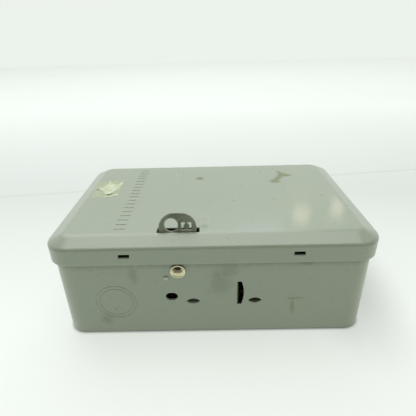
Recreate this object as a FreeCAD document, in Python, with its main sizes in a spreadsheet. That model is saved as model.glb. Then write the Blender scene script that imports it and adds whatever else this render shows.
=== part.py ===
import FreeCAD, Part
import collections
import math
import os
import Sketcher

# Surface-mounted breaker panel box lying on its back: +Z is out of the wall it is screwed to,
# the long side is along X and the hasp side faces -Y. The origin is the centre of the back face.
# Driving sizes in millimetres, and one angle in degrees.
SIZES = {
    # pressed steel back box
    "sheet": 1.5,
    "box_long": 265.6,
    "box_wide": 173.6,
    "box_high": 90.0,
    "box_corner": 17.0,
    "box_fold": 2.4,
    "wall_hole_pitch_long": 216.0,
    "wall_hole_pitch_wide": 124.0,
    "wall_hole_radius": 3.3,
    # pressed steel cover
    "cover_long": 272.0,
    "cover_wide": 180.0,
    "cover_corner": 20.0,
    "rim_low": 76.2,
    "rim_high": 91.4,
    "cover_high": 96.9,
    "bevel_run": 13.2,
    "bevel_drop": 1.0,
    "crease_round": 9.0,
    "rim_round": 3.0,
    "slot_left": -45.1,
    "slot_right": -10.2,
    "slot_front": -75.2,
    "slot_back": -67.8,
    "rib_count": 18,
    "rib_pitch": 7.9,
    "rib_rise": 0.3,
    "rib_x": -77.0,
    "rib_long": 8.6,
    "rib_broad": 1.8,
    # hasp with its leaning padlock tab
    "hasp_centre": -27.9,
    "hasp_wide": 30.8,
    "hasp_plate": 2.0,
    "hasp_lean": 15.0,
    "tab_base_y": -76.6,
    "tab_base_z": 88.0,
    "tab_length": 24.85,
    "tab_round": 12.5,
    "leg_low": 52.0,
    "leg_bend": 80.0,
    "bend_drop": 0.9,
    "padlock_x": -33.1,
    "padlock_rise": 15.1,
    "padlock_radius": 5.55,
    "window_left": -24.8,
    "window_right": -16.6,
    "window_low": 10.6,
    "window_high": 17.0,
    "tongue_radius": 2.5,
    "tongue_neck": 2.2,
    "rivet_x": -28.6,
    "rivet_z": 67.7,
    "rivet_head": 6.5,
    "rivet_dome": 3.0,
    "rivet_shank": 3.0,
    "nib_x": -39.0,
    "nib_z": 60.3,
    "nib_radius": 2.0,
    "nib_rise": 1.2,
    "nib_round": 0.8,
    "fit_gap": 0.05,
    # openings punched in the near wall
    "knockout_x": -83.5,
    "knockout_z": 35.6,
    "knockout_large": 17.4,
    "knockout_small": 14.3,
    "groove": 0.5,
    "groove_depth": 0.2,
    "knockout_drop": 4.0,
    "oval_x": -35.4,
    "oval_z": 40.65,
    "oval_long": 10.2,
    "oval_high": 7.7,
    "bow_x": 20.0,
    "bow_low": 31.0,
    "bow_high": 55.2,
    "bow_end": 3.9,
    "bow_depth": 2.0,
    "ramp_run": 1.2,
    "ramp_depth": 2.4,
    "lance_z": 35.2,
    "lance_high": 5.4,
    "lance_long": 11.6,
    "lance_lip": 6.5,
    "lance_one_x": -17.25,
    "lance_two_x": 35.5,
    # snap catches behind the near rim
    "catch_left_x": -70.2,
    "catch_right_x": 68.7,
    "catch_slot_long": 9.0,
    "catch_slot_low": 83.0,
    "catch_slot_high": 86.3,
    "catch_sheet": 0.8,
    "catch_low": 58.0,
    "catch_top": 88.5,
    "catch_gap": 0.1,
    "catch_reach": 87.0,
    "catch_clear": 0.4,
    "catch_margin": 1.5,
    # hinges behind the far rim
    "hinge_x": 85.0,
    "hinge_y": 92.5,
    "hinge_z": 74.0,
    "hinge_wide": 40.0,
    "leaf_sheet": 1.2,
    "leaf_low": 56.0,
    "leaf_high": 88.0,
    "leaf_hole_rise": 6.0,
    "leaf_hole_drop": 5.0,
    "arm_low": 8.0,
    "arm_high": 2.0,
    "knuckle_radius": 2.8,
    "knuckle_middle": 6.6,
    "knuckle_gap": 0.4,
    "hinge_pin_radius": 1.5,
    "hinge_rivet_x": 13.0,
    "hinge_rivet_head": 2.6,
    "hinge_rivet_dome": 1.3,
    "hinge_rivet_shank": 1.5,
    # pan, bus and breakers
    "pan_sheet": 1.2,
    "pan_long": 128.0,
    "pan_foot": 10.0,
    "pan_front": -34.0,
    "pan_back": 66.0,
    "pan_top": 10.2,
    "pan_screw_front": -22.0,
    "pan_screw_back": 54.0,
    "screw_bite": 6.0,
    "base_low_y": 4.0,
    "base_high_y": 64.0,
    "base_long": 120.0,
    "base_top": 22.2,
    "base_ridge": 4.0,
    "base_screw_inset": 4.0,
    "base_screw_deep": 8.0,
    "bar_thick": 2.0,
    "bar_wide": 12.0,
    "bar_a_y": 50.0,
    "bar_b_y": 16.0,
    "bar_left": -60.0,
    "bar_right": 78.0,
    "stab_y": 36.0,
    "stab_wide": 10.0,
    "stab_thick": 1.6,
    "stab_high": 10.0,
    "finger_wide": 12.0,
    "lug_long": 13.0,
    "lug_wide": 14.0,
    "lug_high": 14.0,
    "lug_bore": 4.2,
    "lug_corner": 1.6,
    "lug_screw_radius": 2.9,
    "lug_screw_long": 7.0,
    "lug_screw_proud": 2.0,
    "breaker_pitch": 25.4,
    "breaker_wide": 24.8,
    "breaker_front": -32.0,
    "breaker_back": 64.0,
    "breaker_low": 26.2,
    "breaker_high": 77.5,
    "breaker_shoulder": 66.0,
    "breaker_step": 22.0,
    "breaker_round": 1.0,
    "jaw_gap": 1.0,
    "collar_side": 18.0,
    "collar_high": 83.0,
    "collar_corner": 1.6,
    "button_y": 16.0,
    "button_radius": 6.0,
    "button_gap": 0.25,
    "button_low": 71.0,
    "button_high": 88.0,
    "button_well": 67.0,
    "button_round": 1.0,
    "button_dish": 0.8,
    "rail_y": -26.0,
    "rail_wide": 12.0,
    "terminal_y": -41.0,
    "terminal_z": 34.0,
    "terminal_side": 10.0,
    "terminal_bore": 2.6,
    "terminal_seat": 5.0,
    "terminal_screw_y": 4.0,
    "mouth_high": 22.0,
    # neutral and ground bars
    "neutral_long": 124.0,
    "neutral_y": -70.0,
    "neutral_side": 8.0,
    "neutral_low": 27.0,
    "neutral_post_x": 54.0,
    "neutral_post_radius": 6.0,
    "neutral_pitch": 12.0,
    "ground_x": -108.0,
    "ground_long": 84.0,
    "ground_side": 8.0,
    "ground_low": 5.5,
    "ground_post_y": 36.0,
    "ground_pitch": 12.0,
    "wire_hole": 2.2,
    "wire_screw_head": 2.6,
    "wire_screw_proud": 0.6,
    "ground_bite": 3.5,
    "post_bore": 7.0,
    # inner guard plate over the breakers
    "guard_long": 128.0,
    "guard_front": -62.0,
    "guard_back": 81.0,
    "guard_low": 80.5,
    "guard_sheet": 1.2,
    "guard_flange": 8.0,
    "guard_corner": 3.0,
    "guard_post_x": 57.0,
    "guard_post_front": -54.0,
    "guard_post_back": 74.0,
    "guard_post_radius": 3.5,
    "guard_gap": 0.6,
    # circuit card inside the cover
    "card_left": -40.0,
    "card_right": 80.0,
    "card_front": -44.0,
    "card_back": 48.0,
    "card_sheet": 0.4,
    "card_frame": 4.0,
    # screws
    "screw_head": 3.4,
    "screw_head_high": 2.2,
    "screw_shank": 1.9,
    "screw_slot": 1.0,
}

DOC = FreeCAD.newDocument("BreakerPanelBox")
NODES = []
HAIR = 1e-4
SIDES = (-1, 1)

Disc = collections.namedtuple("Disc", "u v radius")
Bow = collections.namedtuple("Bow", "u end low high depth")
Lens = collections.namedtuple("Lens", "u v long high")


class Size:
    """A length held as a number and as the sheet expression that gives that number."""

    def __init__(self, number, text=None):
        self.number = number
        self.text = "(%r)" % number if text is None else text

    @staticmethod
    def of(value):
        return value if isinstance(value, Size) else Size(value)

    def joined(self, sign, other, number):
        return Size(number, "(%s %s %s)" % (self.text, sign, other.text))

    def __add__(self, other):
        other = Size.of(other)
        return self.joined("+", other, self.number + other.number)

    def __sub__(self, other):
        other = Size.of(other)
        return self.joined("-", other, self.number - other.number)

    def __mul__(self, other):
        other = Size.of(other)
        return self.joined("*", other, self.number * other.number)

    def __truediv__(self, other):
        other = Size.of(other)
        return self.joined("/", other, self.number / other.number)

    def __neg__(self):
        return Size(0) - self

    __radd__ = __add__
    __rmul__ = __mul__

    def __rsub__(self, other):
        return Size.of(other) - self


def make_sheet():
    """Writes the driving sizes into the spreadsheet and gives them back as Size values."""
    sheet = DOC.addObject("Spreadsheet::Sheet", "Dims")
    named = {}
    for row, (alias, value) in enumerate(SIZES.items(), 1):
        sheet.set("A%d" % row, alias)
        sheet.set("B%d" % row, str(value))
        sheet.setAlias("B%d" % row, alias)
        named[alias] = Size(value, "Dims." + alias)
    DOC.recompute()
    return collections.namedtuple("Sizes", named)(**named)


D = make_sheet()


# ---- small builders ------------------------------------------------------------------------


def bind(thing, path, value):
    """Ties one property of an object to the sheet."""
    thing.setExpression(path, Size.of(value).text)


def keep(thing, label):
    """Names a finished sub-part and puts it on the list to write."""
    thing.Label = label
    NODES.append(thing)
    return thing


def span(centre, length):
    """Low and high value of a length set evenly about a centre."""
    return centre - length / 2, centre + length / 2


def rectangle(across, up):
    """Corners of an upright rectangle from its two (low, high) spans."""
    left, right = across
    low, high = up
    return [(left, low), (right, low), (right, high), (left, high)]


def new_body():
    body = DOC.addObject("PartDesign::Body", "Body")
    body.AllowCompound = True
    return body


def fix_point(sketch, item, end, place):
    """Holds one point of a sketch at its distances from the sketch's origin."""
    for kind, axis, value in (("DistanceX", -2, place[0]), ("DistanceY", -1, place[1])):
        value = Size.of(value)
        if value.number == 0:
            sketch.addConstraint(Sketcher.Constraint("PointOnObject", item, end, axis))
            continue
        number = sketch.addConstraint(Sketcher.Constraint(kind, -1, 1, item, end, value.number))
        bind(sketch, "Constraints[%d]" % number, value)


def spot(place):
    return FreeCAD.Vector(Size.of(place[0]).number, Size.of(place[1]).number, 0)


def draw_disc(sketch, disc):
    circle = Part.Circle(spot(disc[:2]), FreeCAD.Vector(0, 0, 1), Size.of(disc.radius).number)
    item = sketch.addGeometry(circle, False)
    number = sketch.addConstraint(Sketcher.Constraint("Radius", item, Size.of(disc.radius).number))
    bind(sketch, "Constraints[%d]" % number, disc.radius)
    fix_point(sketch, item, 3, disc[:2])


def draw_bow(sketch, bow):
    """One straight upright side, a short flat at each end and an arc that bulges between them."""
    bend = bow.u + bow.end
    low_left, high_left = (bow.u, bow.low), (bow.u, bow.high)
    low_bend, high_bend = (bend, bow.low), (bend, bow.high)
    middle = (bend + bow.depth, (bow.low + bow.high) / 2)
    half = (bow.high - bow.low) / 2
    radius = (half * half + bow.depth * bow.depth) / (bow.depth * 2)
    side = sketch.addGeometry(Part.LineSegment(spot(low_left), spot(high_left)), False)
    upper = sketch.addGeometry(Part.LineSegment(spot(high_left), spot(high_bend)), False)
    lower = sketch.addGeometry(Part.LineSegment(spot(low_bend), spot(low_left)), False)
    arc = sketch.addGeometry(Part.Arc(spot(low_bend), spot(middle), spot(high_bend)), False)
    joins = ((side, 2, upper, 1), (upper, 2, arc, 2), (arc, 1, lower, 1), (lower, 2, side, 1))
    for first, end, second, start in joins:
        sketch.addConstraint(Sketcher.Constraint("Coincident", first, end, second, start))
    fix_point(sketch, side, 1, low_left)
    fix_point(sketch, side, 2, high_left)
    fix_point(sketch, arc, 1, low_bend)
    fix_point(sketch, arc, 2, high_bend)
    number = sketch.addConstraint(Sketcher.Constraint("Radius", arc, radius.number))
    bind(sketch, "Constraints[%d]" % number, radius)


def draw_lens(sketch, lens):
    """Two equal arcs that meet in a point at each end."""
    half = lens.long / 2
    rise = lens.high / 2
    radius = (half * half + rise * rise) / (rise * 2)
    left = (lens.u - half, lens.v)
    right = (lens.u + half, lens.v)
    below = Part.Arc(spot(left), spot((lens.u, lens.v - rise)), spot(right))
    above = Part.Arc(spot(right), spot((lens.u, lens.v + rise)), spot(left))
    lower = sketch.addGeometry(below, False)
    upper = sketch.addGeometry(above, False)
    sketch.addConstraint(Sketcher.Constraint("Coincident", lower, 1, upper, 2))
    sketch.addConstraint(Sketcher.Constraint("Coincident", lower, 2, upper, 1))
    fix_point(sketch, lower, 1, left)
    fix_point(sketch, lower, 2, right)
    for item in (lower, upper):
        number = sketch.addConstraint(Sketcher.Constraint("Radius", item, radius.number))
        bind(sketch, "Constraints[%d]" % number, radius)


def draw_corners(sketch, corners):
    first = sketch.GeometryCount
    count = len(corners)
    for step, corner in enumerate(corners):
        following = corners[(step + 1) % count]
        sketch.addGeometry(Part.LineSegment(spot(corner), spot(following)), False)
    for step, corner in enumerate(corners):
        following = first + (step + 1) % count
        sketch.addConstraint(Sketcher.Constraint("Coincident", first + step, 2, following, 1))
        fix_point(sketch, first + step, 1, corner)


def draw(sketch, outline):
    if isinstance(outline, Disc):
        draw_disc(sketch, outline)
    elif isinstance(outline, Bow):
        draw_bow(sketch, outline)
    elif isinstance(outline, Lens):
        draw_lens(sketch, outline)
    else:
        draw_corners(sketch, outline)


def stretch(body, kind, role, reach, outlines):
    """Pads or pockets outlines between two levels along the normal of an origin plane.

    On XY the outline is (x, y), on YZ it is (y, z) and on XZ it is (x, z). The XZ plane's normal
    points to -Y, so its levels change sign and a pad there starts at the high level.
    """
    low, high = (Size.of(value) for value in reach)
    towards_minus = role == "XZ_Plane"
    start = low if (kind == "Pad") != towards_minus else high
    sketch = body.newObject("Sketcher::SketchObject", "Outline")
    plane = [item for item in body.Origin.OriginFeatures if item.Role == role][0]
    sketch.AttachmentSupport = (plane, [""])
    sketch.MapMode = "FlatFace"
    bind(sketch, "AttachmentOffset.Base.z", -start if towards_minus else start)
    for outline in outlines:
        draw(sketch, outline)
    feature = body.newObject("PartDesign::" + kind, kind)
    feature.Profile = sketch
    bind(feature, "Length", high - low)
    DOC.recompute()
    return feature


def pad(body, role, reach, *outlines):
    return stretch(body, "Pad", role, reach, outlines)


def cut(body, role, reach, *outlines):
    """Pockets the outlines and makes sure that the pocket takes something away."""
    before = body.Shape.Volume
    feature = stretch(body, "Pocket", role, reach, outlines)
    if body.Shape.Volume > before - HAIR:
        raise RuntimeError("a pocket in %s cuts nothing" % body.Name)
    return feature


def within(edge, x=None, y=None, z=None):
    """True where an edge lies inside each span that is given."""
    box = edge.BoundBox
    limits = ((x, box.XMin, box.XMax), (y, box.YMin, box.YMax), (z, box.ZMin, box.ZMax))
    for limit, low, high in limits:
        if limit is None:
            continue
        first, last = (Size.of(value).number for value in limit)
        if low < first - HAIR or high > last + HAIR:
            return False
    return True


def along(edge, axis):
    """True where an edge is a straight line along one axis."""
    box = edge.BoundBox
    lengths = {"x": box.XLength, "y": box.YLength, "z": box.ZLength}
    return lengths.pop(axis) > 0.01 > max(lengths.values())


def edges_of(body, chosen):
    shape = body.Tip.Shape
    return ["Edge%d" % (place + 1) for place, edge in enumerate(shape.Edges) if chosen(edge)]


def round_edges(body, radius, chosen):
    base = body.Tip
    names = edges_of(body, chosen)
    fillet = body.newObject("PartDesign::Fillet", "Round")
    fillet.Base = (base, names)
    bind(fillet, "Radius", radius)
    DOC.recompute()
    return fillet


def block(x, y, z):
    """A box from its low to its high value along each axis."""
    box = DOC.addObject("Part::Box", "Block")
    for side, axis, (low, high) in zip(("Length", "Width", "Height"), "xyz", (x, y, z)):
        bind(box, side, Size.of(high) - low)
        bind(box, "Placement.Base." + axis, low)
    return box


TURNS = {
    "x": (FreeCAD.Vector(0, 1, 0), 90),
    "y": (FreeCAD.Vector(1, 0, 0), -90),
    "z": (FreeCAD.Vector(0, 0, 1), 0),
}


def rod(axis, reach, centre, radius):
    """A cylinder along one axis; centre is its place on the other two axes, in X, Y, Z order."""
    low, high = reach
    cylinder = DOC.addObject("Part::Cylinder", "Rod")
    bind(cylinder, "Radius", radius)
    bind(cylinder, "Height", Size.of(high) - low)
    cylinder.Placement = FreeCAD.Placement(FreeCAD.Vector(), FreeCAD.Rotation(*TURNS[axis]))
    others = iter(centre)
    for letter in "xyz":
        bind(cylinder, "Placement.Base." + letter, low if letter == axis else next(others))
    return cylinder


def ball(x, y, z, radius):
    sphere = DOC.addObject("Part::Sphere", "Ball")
    bind(sphere, "Radius", radius)
    for letter, value in zip("xyz", (x, y, z)):
        bind(sphere, "Placement.Base." + letter, value)
    return sphere


def common(base, tool):
    shared = DOC.addObject("Part::Common", "Common")
    shared.Base = base
    shared.Tool = tool
    return shared


def fuse(*solids):
    joined = DOC.addObject("Part::MultiFuse", "Fuse")
    joined.Shapes = list(solids)
    return joined


def group(solids):
    together = DOC.addObject("Part::Compound", "Group")
    together.Links = list(solids)
    return together


def take(base, *tools):
    """Cuts the tools out of a base solid."""
    rest = DOC.addObject("Part::Cut", "Cut")
    rest.Base = base
    rest.Tool = tools[0] if len(tools) == 1 else fuse(*tools)
    return rest


def screw(x, y, seat, length, head=D.screw_head, shank=D.screw_shank):
    """An upright slotted screw whose head sits on the level called seat."""
    top = seat + D.screw_head_high
    whole = fuse(rod("z", (seat, top), (x, y), head), rod("z", (seat - length, seat), (x, y), shank))
    slot = block(span(x, head * 3), span(y, D.screw_slot), (top - D.screw_head_high / 2, top + 1))
    return take(whole, slot)


def dome(axis, place, centre, radius, rise, way):
    """A round rivet head that bulges along an axis from the level called place; way is its sign."""
    sphere_radius = (radius * radius + rise * rise) / (rise * 2)
    middle = place + (rise - sphere_radius) * way
    others = iter(centre)
    sphere = ball(*[middle if letter == axis else next(others) for letter in "xyz"], sphere_radius)
    reach = (place, place + rise) if way > 0 else (place - rise, place)
    return common(sphere, rod(axis, reach, centre, radius))


def rivet(place, tail, centre, head, rise, shank, way):
    """A domed rivet along Y: head at the level place, tail flat and turned over at the other end."""
    shank_reach = (tail, place) if way > 0 else (place, tail)
    tail_end = tail - rise / 2 * way
    tail_reach = (tail_end, tail) if way > 0 else (tail, tail_end)
    tail_radius = shank + rise / 2
    return fuse(
        dome("y", place, centre, head, rise, way),
        rod("y", shank_reach, centre, shank),
        rod("y", tail_reach, centre, tail_radius),
    )


# ---- shared places -------------------------------------------------------------------------

NEAR = -D.box_wide / 2
FAR = D.box_wide / 2
INNER_NEAR = NEAR + D.sheet
INNER_FAR = FAR - D.sheet
RIM_FAR = D.cover_wide / 2
RIM_NEAR = -D.cover_wide / 2
COVER_INSIDE = D.cover_high - D.sheet
LEG_OUTER = INNER_NEAR + D.catch_gap
LEG_INNER = LEG_OUTER + D.hasp_plate
BAR_TOP = D.base_top + D.bar_thick
GUARD_TOP = D.guard_low + D.guard_sheet
BREAKERS = [D.breaker_pitch * (place - 1.5) for place in range(4)]
SCREW_HOLE = D.screw_shank + D.fit_gap
RIVET_HOLE = D.hinge_rivet_shank + D.fit_gap
LEAN = math.radians(D.hasp_lean.number)
LEAN_ACROSS = D.hasp_plate * Size(math.cos(LEAN), "cos(Dims.hasp_lean * 1 deg)")
LEAN_UP = D.hasp_plate * Size(math.sin(LEAN), "sin(Dims.hasp_lean * 1 deg)")
HALF_PITCH = (D.wall_hole_pitch_long / 2, D.wall_hole_pitch_wide / 2)
WALL_HOLES = [(HALF_PITCH[0] * a, HALF_PITCH[1] * b) for a in SIDES for b in SIDES]
PAN_SCREW_X = (D.pan_long + D.pan_foot) / 2
PAN_SCREWS = [(PAN_SCREW_X * a, y) for a in SIDES for y in (D.pan_screw_front, D.pan_screw_back)]
BASE_SCREW_X = D.base_long / 2 - D.base_screw_inset
GUARD_POSTS = [(D.guard_post_x * a, y) for a in SIDES for y in (D.guard_post_front, D.guard_post_back)]
HINGES = {"left": -D.hinge_x, "right": D.hinge_x}
CATCHES = {"left": D.catch_left_x, "right": D.catch_right_x}


# ---- steel box and cover -------------------------------------------------------------------


def ring(u, v, radius):
    """The two circles of a shallow knockout groove."""
    return Disc(u, v, radius), Disc(u, v, radius - D.groove)


def hollow(body, core):
    """Takes a core body out of a body."""
    boolean = body.newObject("PartDesign::Boolean", "Hollow")
    boolean.setObjects([core])
    boolean.Type = "Cut"
    DOC.recompute()


def box_form(inset, top):
    """The box's outer form, or with an inset its core."""
    body = new_body()
    outline = rectangle(span(Size(0), D.box_long - inset * 2), span(Size(0), D.box_wide - inset * 2))
    pad(body, "XY_Plane", (inset, top), outline)
    round_edges(body, D.box_corner - inset, lambda edge: along(edge, "z"))
    round_edges(body, D.box_fold - inset, lambda edge: within(edge, z=(inset, inset)))
    return body


def make_back_box():
    body = box_form(Size(0), D.box_high)
    hollow(body, box_form(D.sheet, D.box_high + 1))
    cut_floor(body)
    cut_near_wall(body)
    cut_knockouts(body)
    cut_hinge_holes(body)
    add_bow_ramp(body)
    for x in (D.lance_one_x, D.lance_two_x):
        add_lance_lip(body, x)
    return keep(body, "back_box")


def cut_floor(body):
    """Wall screw holes, and the holes that the inner screws and posts stand in."""
    through = (0, D.sheet)
    cut(body, "XY_Plane", through, *[Disc(x, y, D.wall_hole_radius) for x, y in WALL_HOLES])
    cut(body, "XY_Plane", through, *[Disc(x, y, SCREW_HOLE) for x, y in PAN_SCREWS])


def cut_near_wall(body):
    """The vents, the hasp fixings and the catch windows of the hasp side."""
    through = (NEAR, INNER_NEAR)
    across = span(D.oval_x, D.oval_long)
    up = span(D.oval_z, D.oval_high)
    cut(body, "XZ_Plane", through, rectangle(across, up))
    corner = D.oval_high / 2 - D.fit_gap
    round_edges(body, corner, lambda edge: along(edge, "y") and within(edge, across, through, up))
    cut(body, "XZ_Plane", through, Bow(D.bow_x, D.bow_end, D.bow_low, D.bow_high, D.bow_depth))
    for x in (D.lance_one_x, D.lance_two_x):
        cut(body, "XZ_Plane", through, Lens(x, D.lance_z, D.lance_long, D.lance_high))
    cut(body, "XZ_Plane", through, Disc(D.rivet_x, D.rivet_z, D.rivet_shank + D.fit_gap))
    cut(body, "XZ_Plane", through, Disc(D.nib_x, D.nib_z, D.nib_radius + D.fit_gap))
    for x in CATCHES.values():
        up = (D.catch_slot_low - D.catch_margin, D.catch_slot_high + D.catch_margin)
        cut(body, "XZ_Plane", through, rectangle(span(x, D.catch_slot_long + 2), up))


def cut_knockouts(body):
    """Pairs of ring grooves: one pair in the near wall, one in each end and two in the far wall."""
    near = (NEAR, NEAR + D.groove_depth)
    far = (FAR - D.groove_depth, FAR)
    end = D.box_long / 2
    for radius in (D.knockout_large, D.knockout_small):
        cut(body, "XZ_Plane", near, *ring(D.knockout_x, D.knockout_z, radius))
        for side in SIDES:
            cut(body, "XZ_Plane", far, *ring(D.knockout_x * side, D.knockout_z - D.knockout_drop, radius))
        cut(body, "YZ_Plane", (end - D.groove_depth, end), *ring(Size(0), D.knockout_z, radius))
        cut(body, "YZ_Plane", (-end, -end + D.groove_depth), *ring(Size(0), D.knockout_z, radius))


def cut_hinge_holes(body):
    for x in HINGES.values():
        for side in SIDES:
            hole = Disc(x + D.hinge_rivet_x * side, D.leaf_low + D.leaf_hole_rise, RIVET_HOLE)
            cut(body, "XZ_Plane", (INNER_FAR, FAR), hole)


def add_bow_ramp(body):
    """The strip along the straight side of the D-shaped slot, pressed in at a slant."""
    end = D.bow_x + D.ramp_run
    inner = INNER_NEAR + D.ramp_depth
    outline = [(D.bow_x, NEAR), (end, inner - D.sheet), (end, inner), (D.bow_x, INNER_NEAR)]
    pad(body, "XY_Plane", (D.bow_low, D.bow_high), outline)


def add_lance_lip(body, x):
    """The tongue under a lanced slot, folded into the box."""
    low = D.lance_z - D.lance_high / 2
    lip = rectangle(span(x, D.lance_long * 0.7), (low - D.sheet, low))
    pad(body, "XZ_Plane", (INNER_NEAR - HAIR, INNER_NEAR + D.lance_lip), lip)


def cover_form(inset, low, rim):
    """The cover's outer form, or with an inset its core; rim is the level where the bevel starts."""
    top = D.cover_high - inset
    slope = (D.cover_high - D.rim_high) / D.bevel_run
    body = new_body()
    outline = rectangle(span(Size(0), D.cover_long - inset * 2), span(Size(0), D.cover_wide - inset * 2))
    pad(body, "XY_Plane", (low, top), outline)
    round_edges(body, D.cover_corner - inset, lambda edge: along(edge, "z"))
    base = body.Tip
    names = edges_of(body, lambda edge: within(edge, z=(top, top)))
    bevel = body.newObject("PartDesign::Chamfer", "Bevel")
    bevel.Base = (base, names)
    bevel.ChamferType = "Two distances"
    bind(bevel, "Size", top - rim)
    bind(bevel, "Size2", (top - rim) / slope)
    DOC.recompute()
    round_edges(body, D.crease_round - inset, lambda edge: within(edge, z=(top, top)))
    round_edges(body, D.rim_round - inset, lambda edge: within(edge, z=(rim, rim)))
    return body


def make_cover():
    body = cover_form(Size(0), D.rim_low, D.rim_high)
    hollow(body, cover_form(D.sheet, D.rim_low - 1, D.rim_high - D.bevel_drop))
    slot = rectangle((D.slot_left, D.slot_right), (D.slot_front, D.slot_back))
    cut(body, "XY_Plane", (COVER_INSIDE - 2, D.cover_high), slot)
    for x in CATCHES.values():
        window = rectangle(span(x, D.catch_slot_long), (D.catch_slot_low, D.catch_slot_high))
        cut(body, "XZ_Plane", (RIM_NEAR, RIM_NEAR + D.sheet), window)
    for x in HINGES.values():
        for side in SIDES:
            hole = Disc(x + D.hinge_rivet_x * side, D.leaf_high - D.leaf_hole_drop, RIVET_HOLE)
            cut(body, "XZ_Plane", (RIM_FAR - D.sheet, RIM_FAR), hole)
    raise_ribs(body)
    return keep(body, "cover")


def raise_ribs(body):
    """A plain row of equal shallow raised ribs along the cover's left part."""
    first = -D.rib_pitch * (D.rib_count.number - 1) / 2
    level = (D.cover_high - HAIR, D.cover_high + D.rib_rise)
    row = pad(body, "XY_Plane", level, rectangle(span(D.rib_x, D.rib_long), span(first, D.rib_broad)))
    pattern = body.newObject("PartDesign::LinearPattern", "RibRow")
    pattern.Originals = [row]
    axis = [item for item in body.Origin.OriginFeatures if item.Role == "Y_Axis"][0]
    pattern.Direction = (axis, [""])
    bind(pattern, "Length", D.rib_pitch * (D.rib_count - 1))
    bind(pattern, "Occurrences", D.rib_count)
    body.Tip = pattern
    DOC.recompute()


# ---- hasp, catches and hinges --------------------------------------------------------------


def make_hasp():
    """A riveted leg, a jog under the cover and a leaning tab with the padlock hole."""
    across = span(D.hasp_centre, D.hasp_wide)
    leg = new_body()
    side_view = [
        (LEG_OUTER, D.leg_low),
        (LEG_INNER, D.leg_low),
        (LEG_INNER, D.leg_bend - D.bend_drop),
        (D.tab_base_y + LEAN_ACROSS, D.tab_base_z - LEAN_UP),
        (D.tab_base_y, D.tab_base_z),
        (LEG_OUTER, D.leg_bend),
    ]
    pad(leg, "YZ_Plane", across, side_view)
    cut(leg, "XZ_Plane", (LEG_OUTER, LEG_INNER), Disc(D.rivet_x, D.rivet_z, D.rivet_shank + D.fit_gap))
    nib_face = NEAR - D.nib_rise
    pad(leg, "XZ_Plane", (nib_face, LEG_OUTER + HAIR), Disc(D.nib_x, D.nib_z, D.nib_radius))
    round_edges(leg, D.nib_round, lambda edge: within(edge, y=(nib_face, nib_face)))
    tab = make_tab(across)
    return keep(fuse(leg, tab), "hasp_bracket")


def make_tab(across):
    """The tab drawn upright, then leant back about its lower front edge."""
    tab = new_body()
    plate = (0, D.hasp_plate)
    pad(tab, "XZ_Plane", plate, rectangle(across, (-D.hasp_plate / 4, D.tab_length)))
    top = (D.tab_length, D.tab_length)
    round_edges(tab, D.tab_round, lambda edge: along(edge, "y") and within(edge, z=top))
    cut(tab, "XZ_Plane", plate, Disc(D.padlock_x, D.padlock_rise, D.padlock_radius))
    window = rectangle((D.window_left, D.window_right), (D.window_low, D.window_high))
    cut(tab, "XZ_Plane", plate, window)
    middle = (D.window_left + D.window_right) / 2
    tongue = (D.hasp_plate / 4, D.hasp_plate)
    disc_z = D.window_low + D.tongue_radius + D.catch_clear
    neck = rectangle(span(middle, D.tongue_neck), (disc_z, D.window_high + HAIR))
    pad(tab, "XZ_Plane", tongue, neck)
    pad(tab, "XZ_Plane", tongue, Disc(middle, disc_z, D.tongue_radius))
    tab.Placement = FreeCAD.Placement(FreeCAD.Vector(), FreeCAD.Rotation(FreeCAD.Vector(-1, 0, 0), 1))
    bind(tab, "Placement.Rotation.Angle", D.hasp_lean)
    bind(tab, "Placement.Base.y", D.tab_base_y)
    bind(tab, "Placement.Base.z", D.tab_base_z)
    return tab


def make_hasp_rivet():
    centre = (D.rivet_x, D.rivet_z)
    made = rivet(NEAR, LEG_INNER, centre, D.rivet_head, D.rivet_dome, D.rivet_shank, -1)
    return keep(made, "hasp_rivet")


def make_catch(side, x):
    """A leaf spring, spot welded by its foot, with a nose that stands behind the rim's slot."""
    outer = INNER_NEAR + D.catch_gap
    inner = outer + D.catch_sheet
    nose_low = D.catch_slot_low + D.catch_clear
    nose_high = D.catch_slot_high - D.catch_clear
    tip = -D.catch_reach
    body = new_body()
    leaf = rectangle((outer, inner), (D.catch_low, D.catch_top))
    pad(body, "YZ_Plane", span(x, D.catch_slot_long + 1), leaf)
    nose = [(inner, nose_low), (inner, nose_high), (tip, nose_high), (tip, nose_high - 1)]
    pad(body, "YZ_Plane", span(x, D.catch_slot_long - 1), nose)
    keep(body, "catch_spring_" + side)


def knuckle(body, reach, arm):
    """One knuckle of a hinge and the arm that joins it to its leaf."""
    pad(body, "YZ_Plane", reach, arm)
    pad(body, "YZ_Plane", reach, Disc(D.hinge_y, D.hinge_z, D.knuckle_radius))


def rivet_holes(body, reach, x, z):
    holes = [Disc(x + D.hinge_rivet_x * side, z, RIVET_HOLE) for side in SIDES]
    cut(body, "XZ_Plane", reach, *holes)


def make_box_leaf(side, x):
    left, right = span(x, D.hinge_wide)
    plate = (FAR, FAR + D.leaf_sheet)
    body = new_body()
    pad(body, "YZ_Plane", (left, right), rectangle(plate, (D.leaf_low, D.hinge_z - D.arm_high)))
    arm = [
        (FAR, D.hinge_z - D.arm_low),
        (FAR + D.leaf_sheet, D.hinge_z - D.arm_low),
        (D.hinge_y, D.hinge_z - D.knuckle_radius),
        (D.hinge_y, D.hinge_z),
        (D.hinge_y - D.knuckle_radius + 0.3, D.hinge_z + 1),
        (FAR, D.hinge_z - D.arm_high),
    ]
    inner = D.knuckle_middle + D.knuckle_gap
    knuckle(body, (left, x - inner), arm)
    knuckle(body, (x + inner, right), arm)
    cut(body, "YZ_Plane", (left, right), Disc(D.hinge_y, D.hinge_z, D.hinge_pin_radius + D.fit_gap))
    rivet_holes(body, plate, x, D.leaf_low + D.leaf_hole_rise)
    return keep(body, "box_hinge_leaf_" + side)


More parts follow.
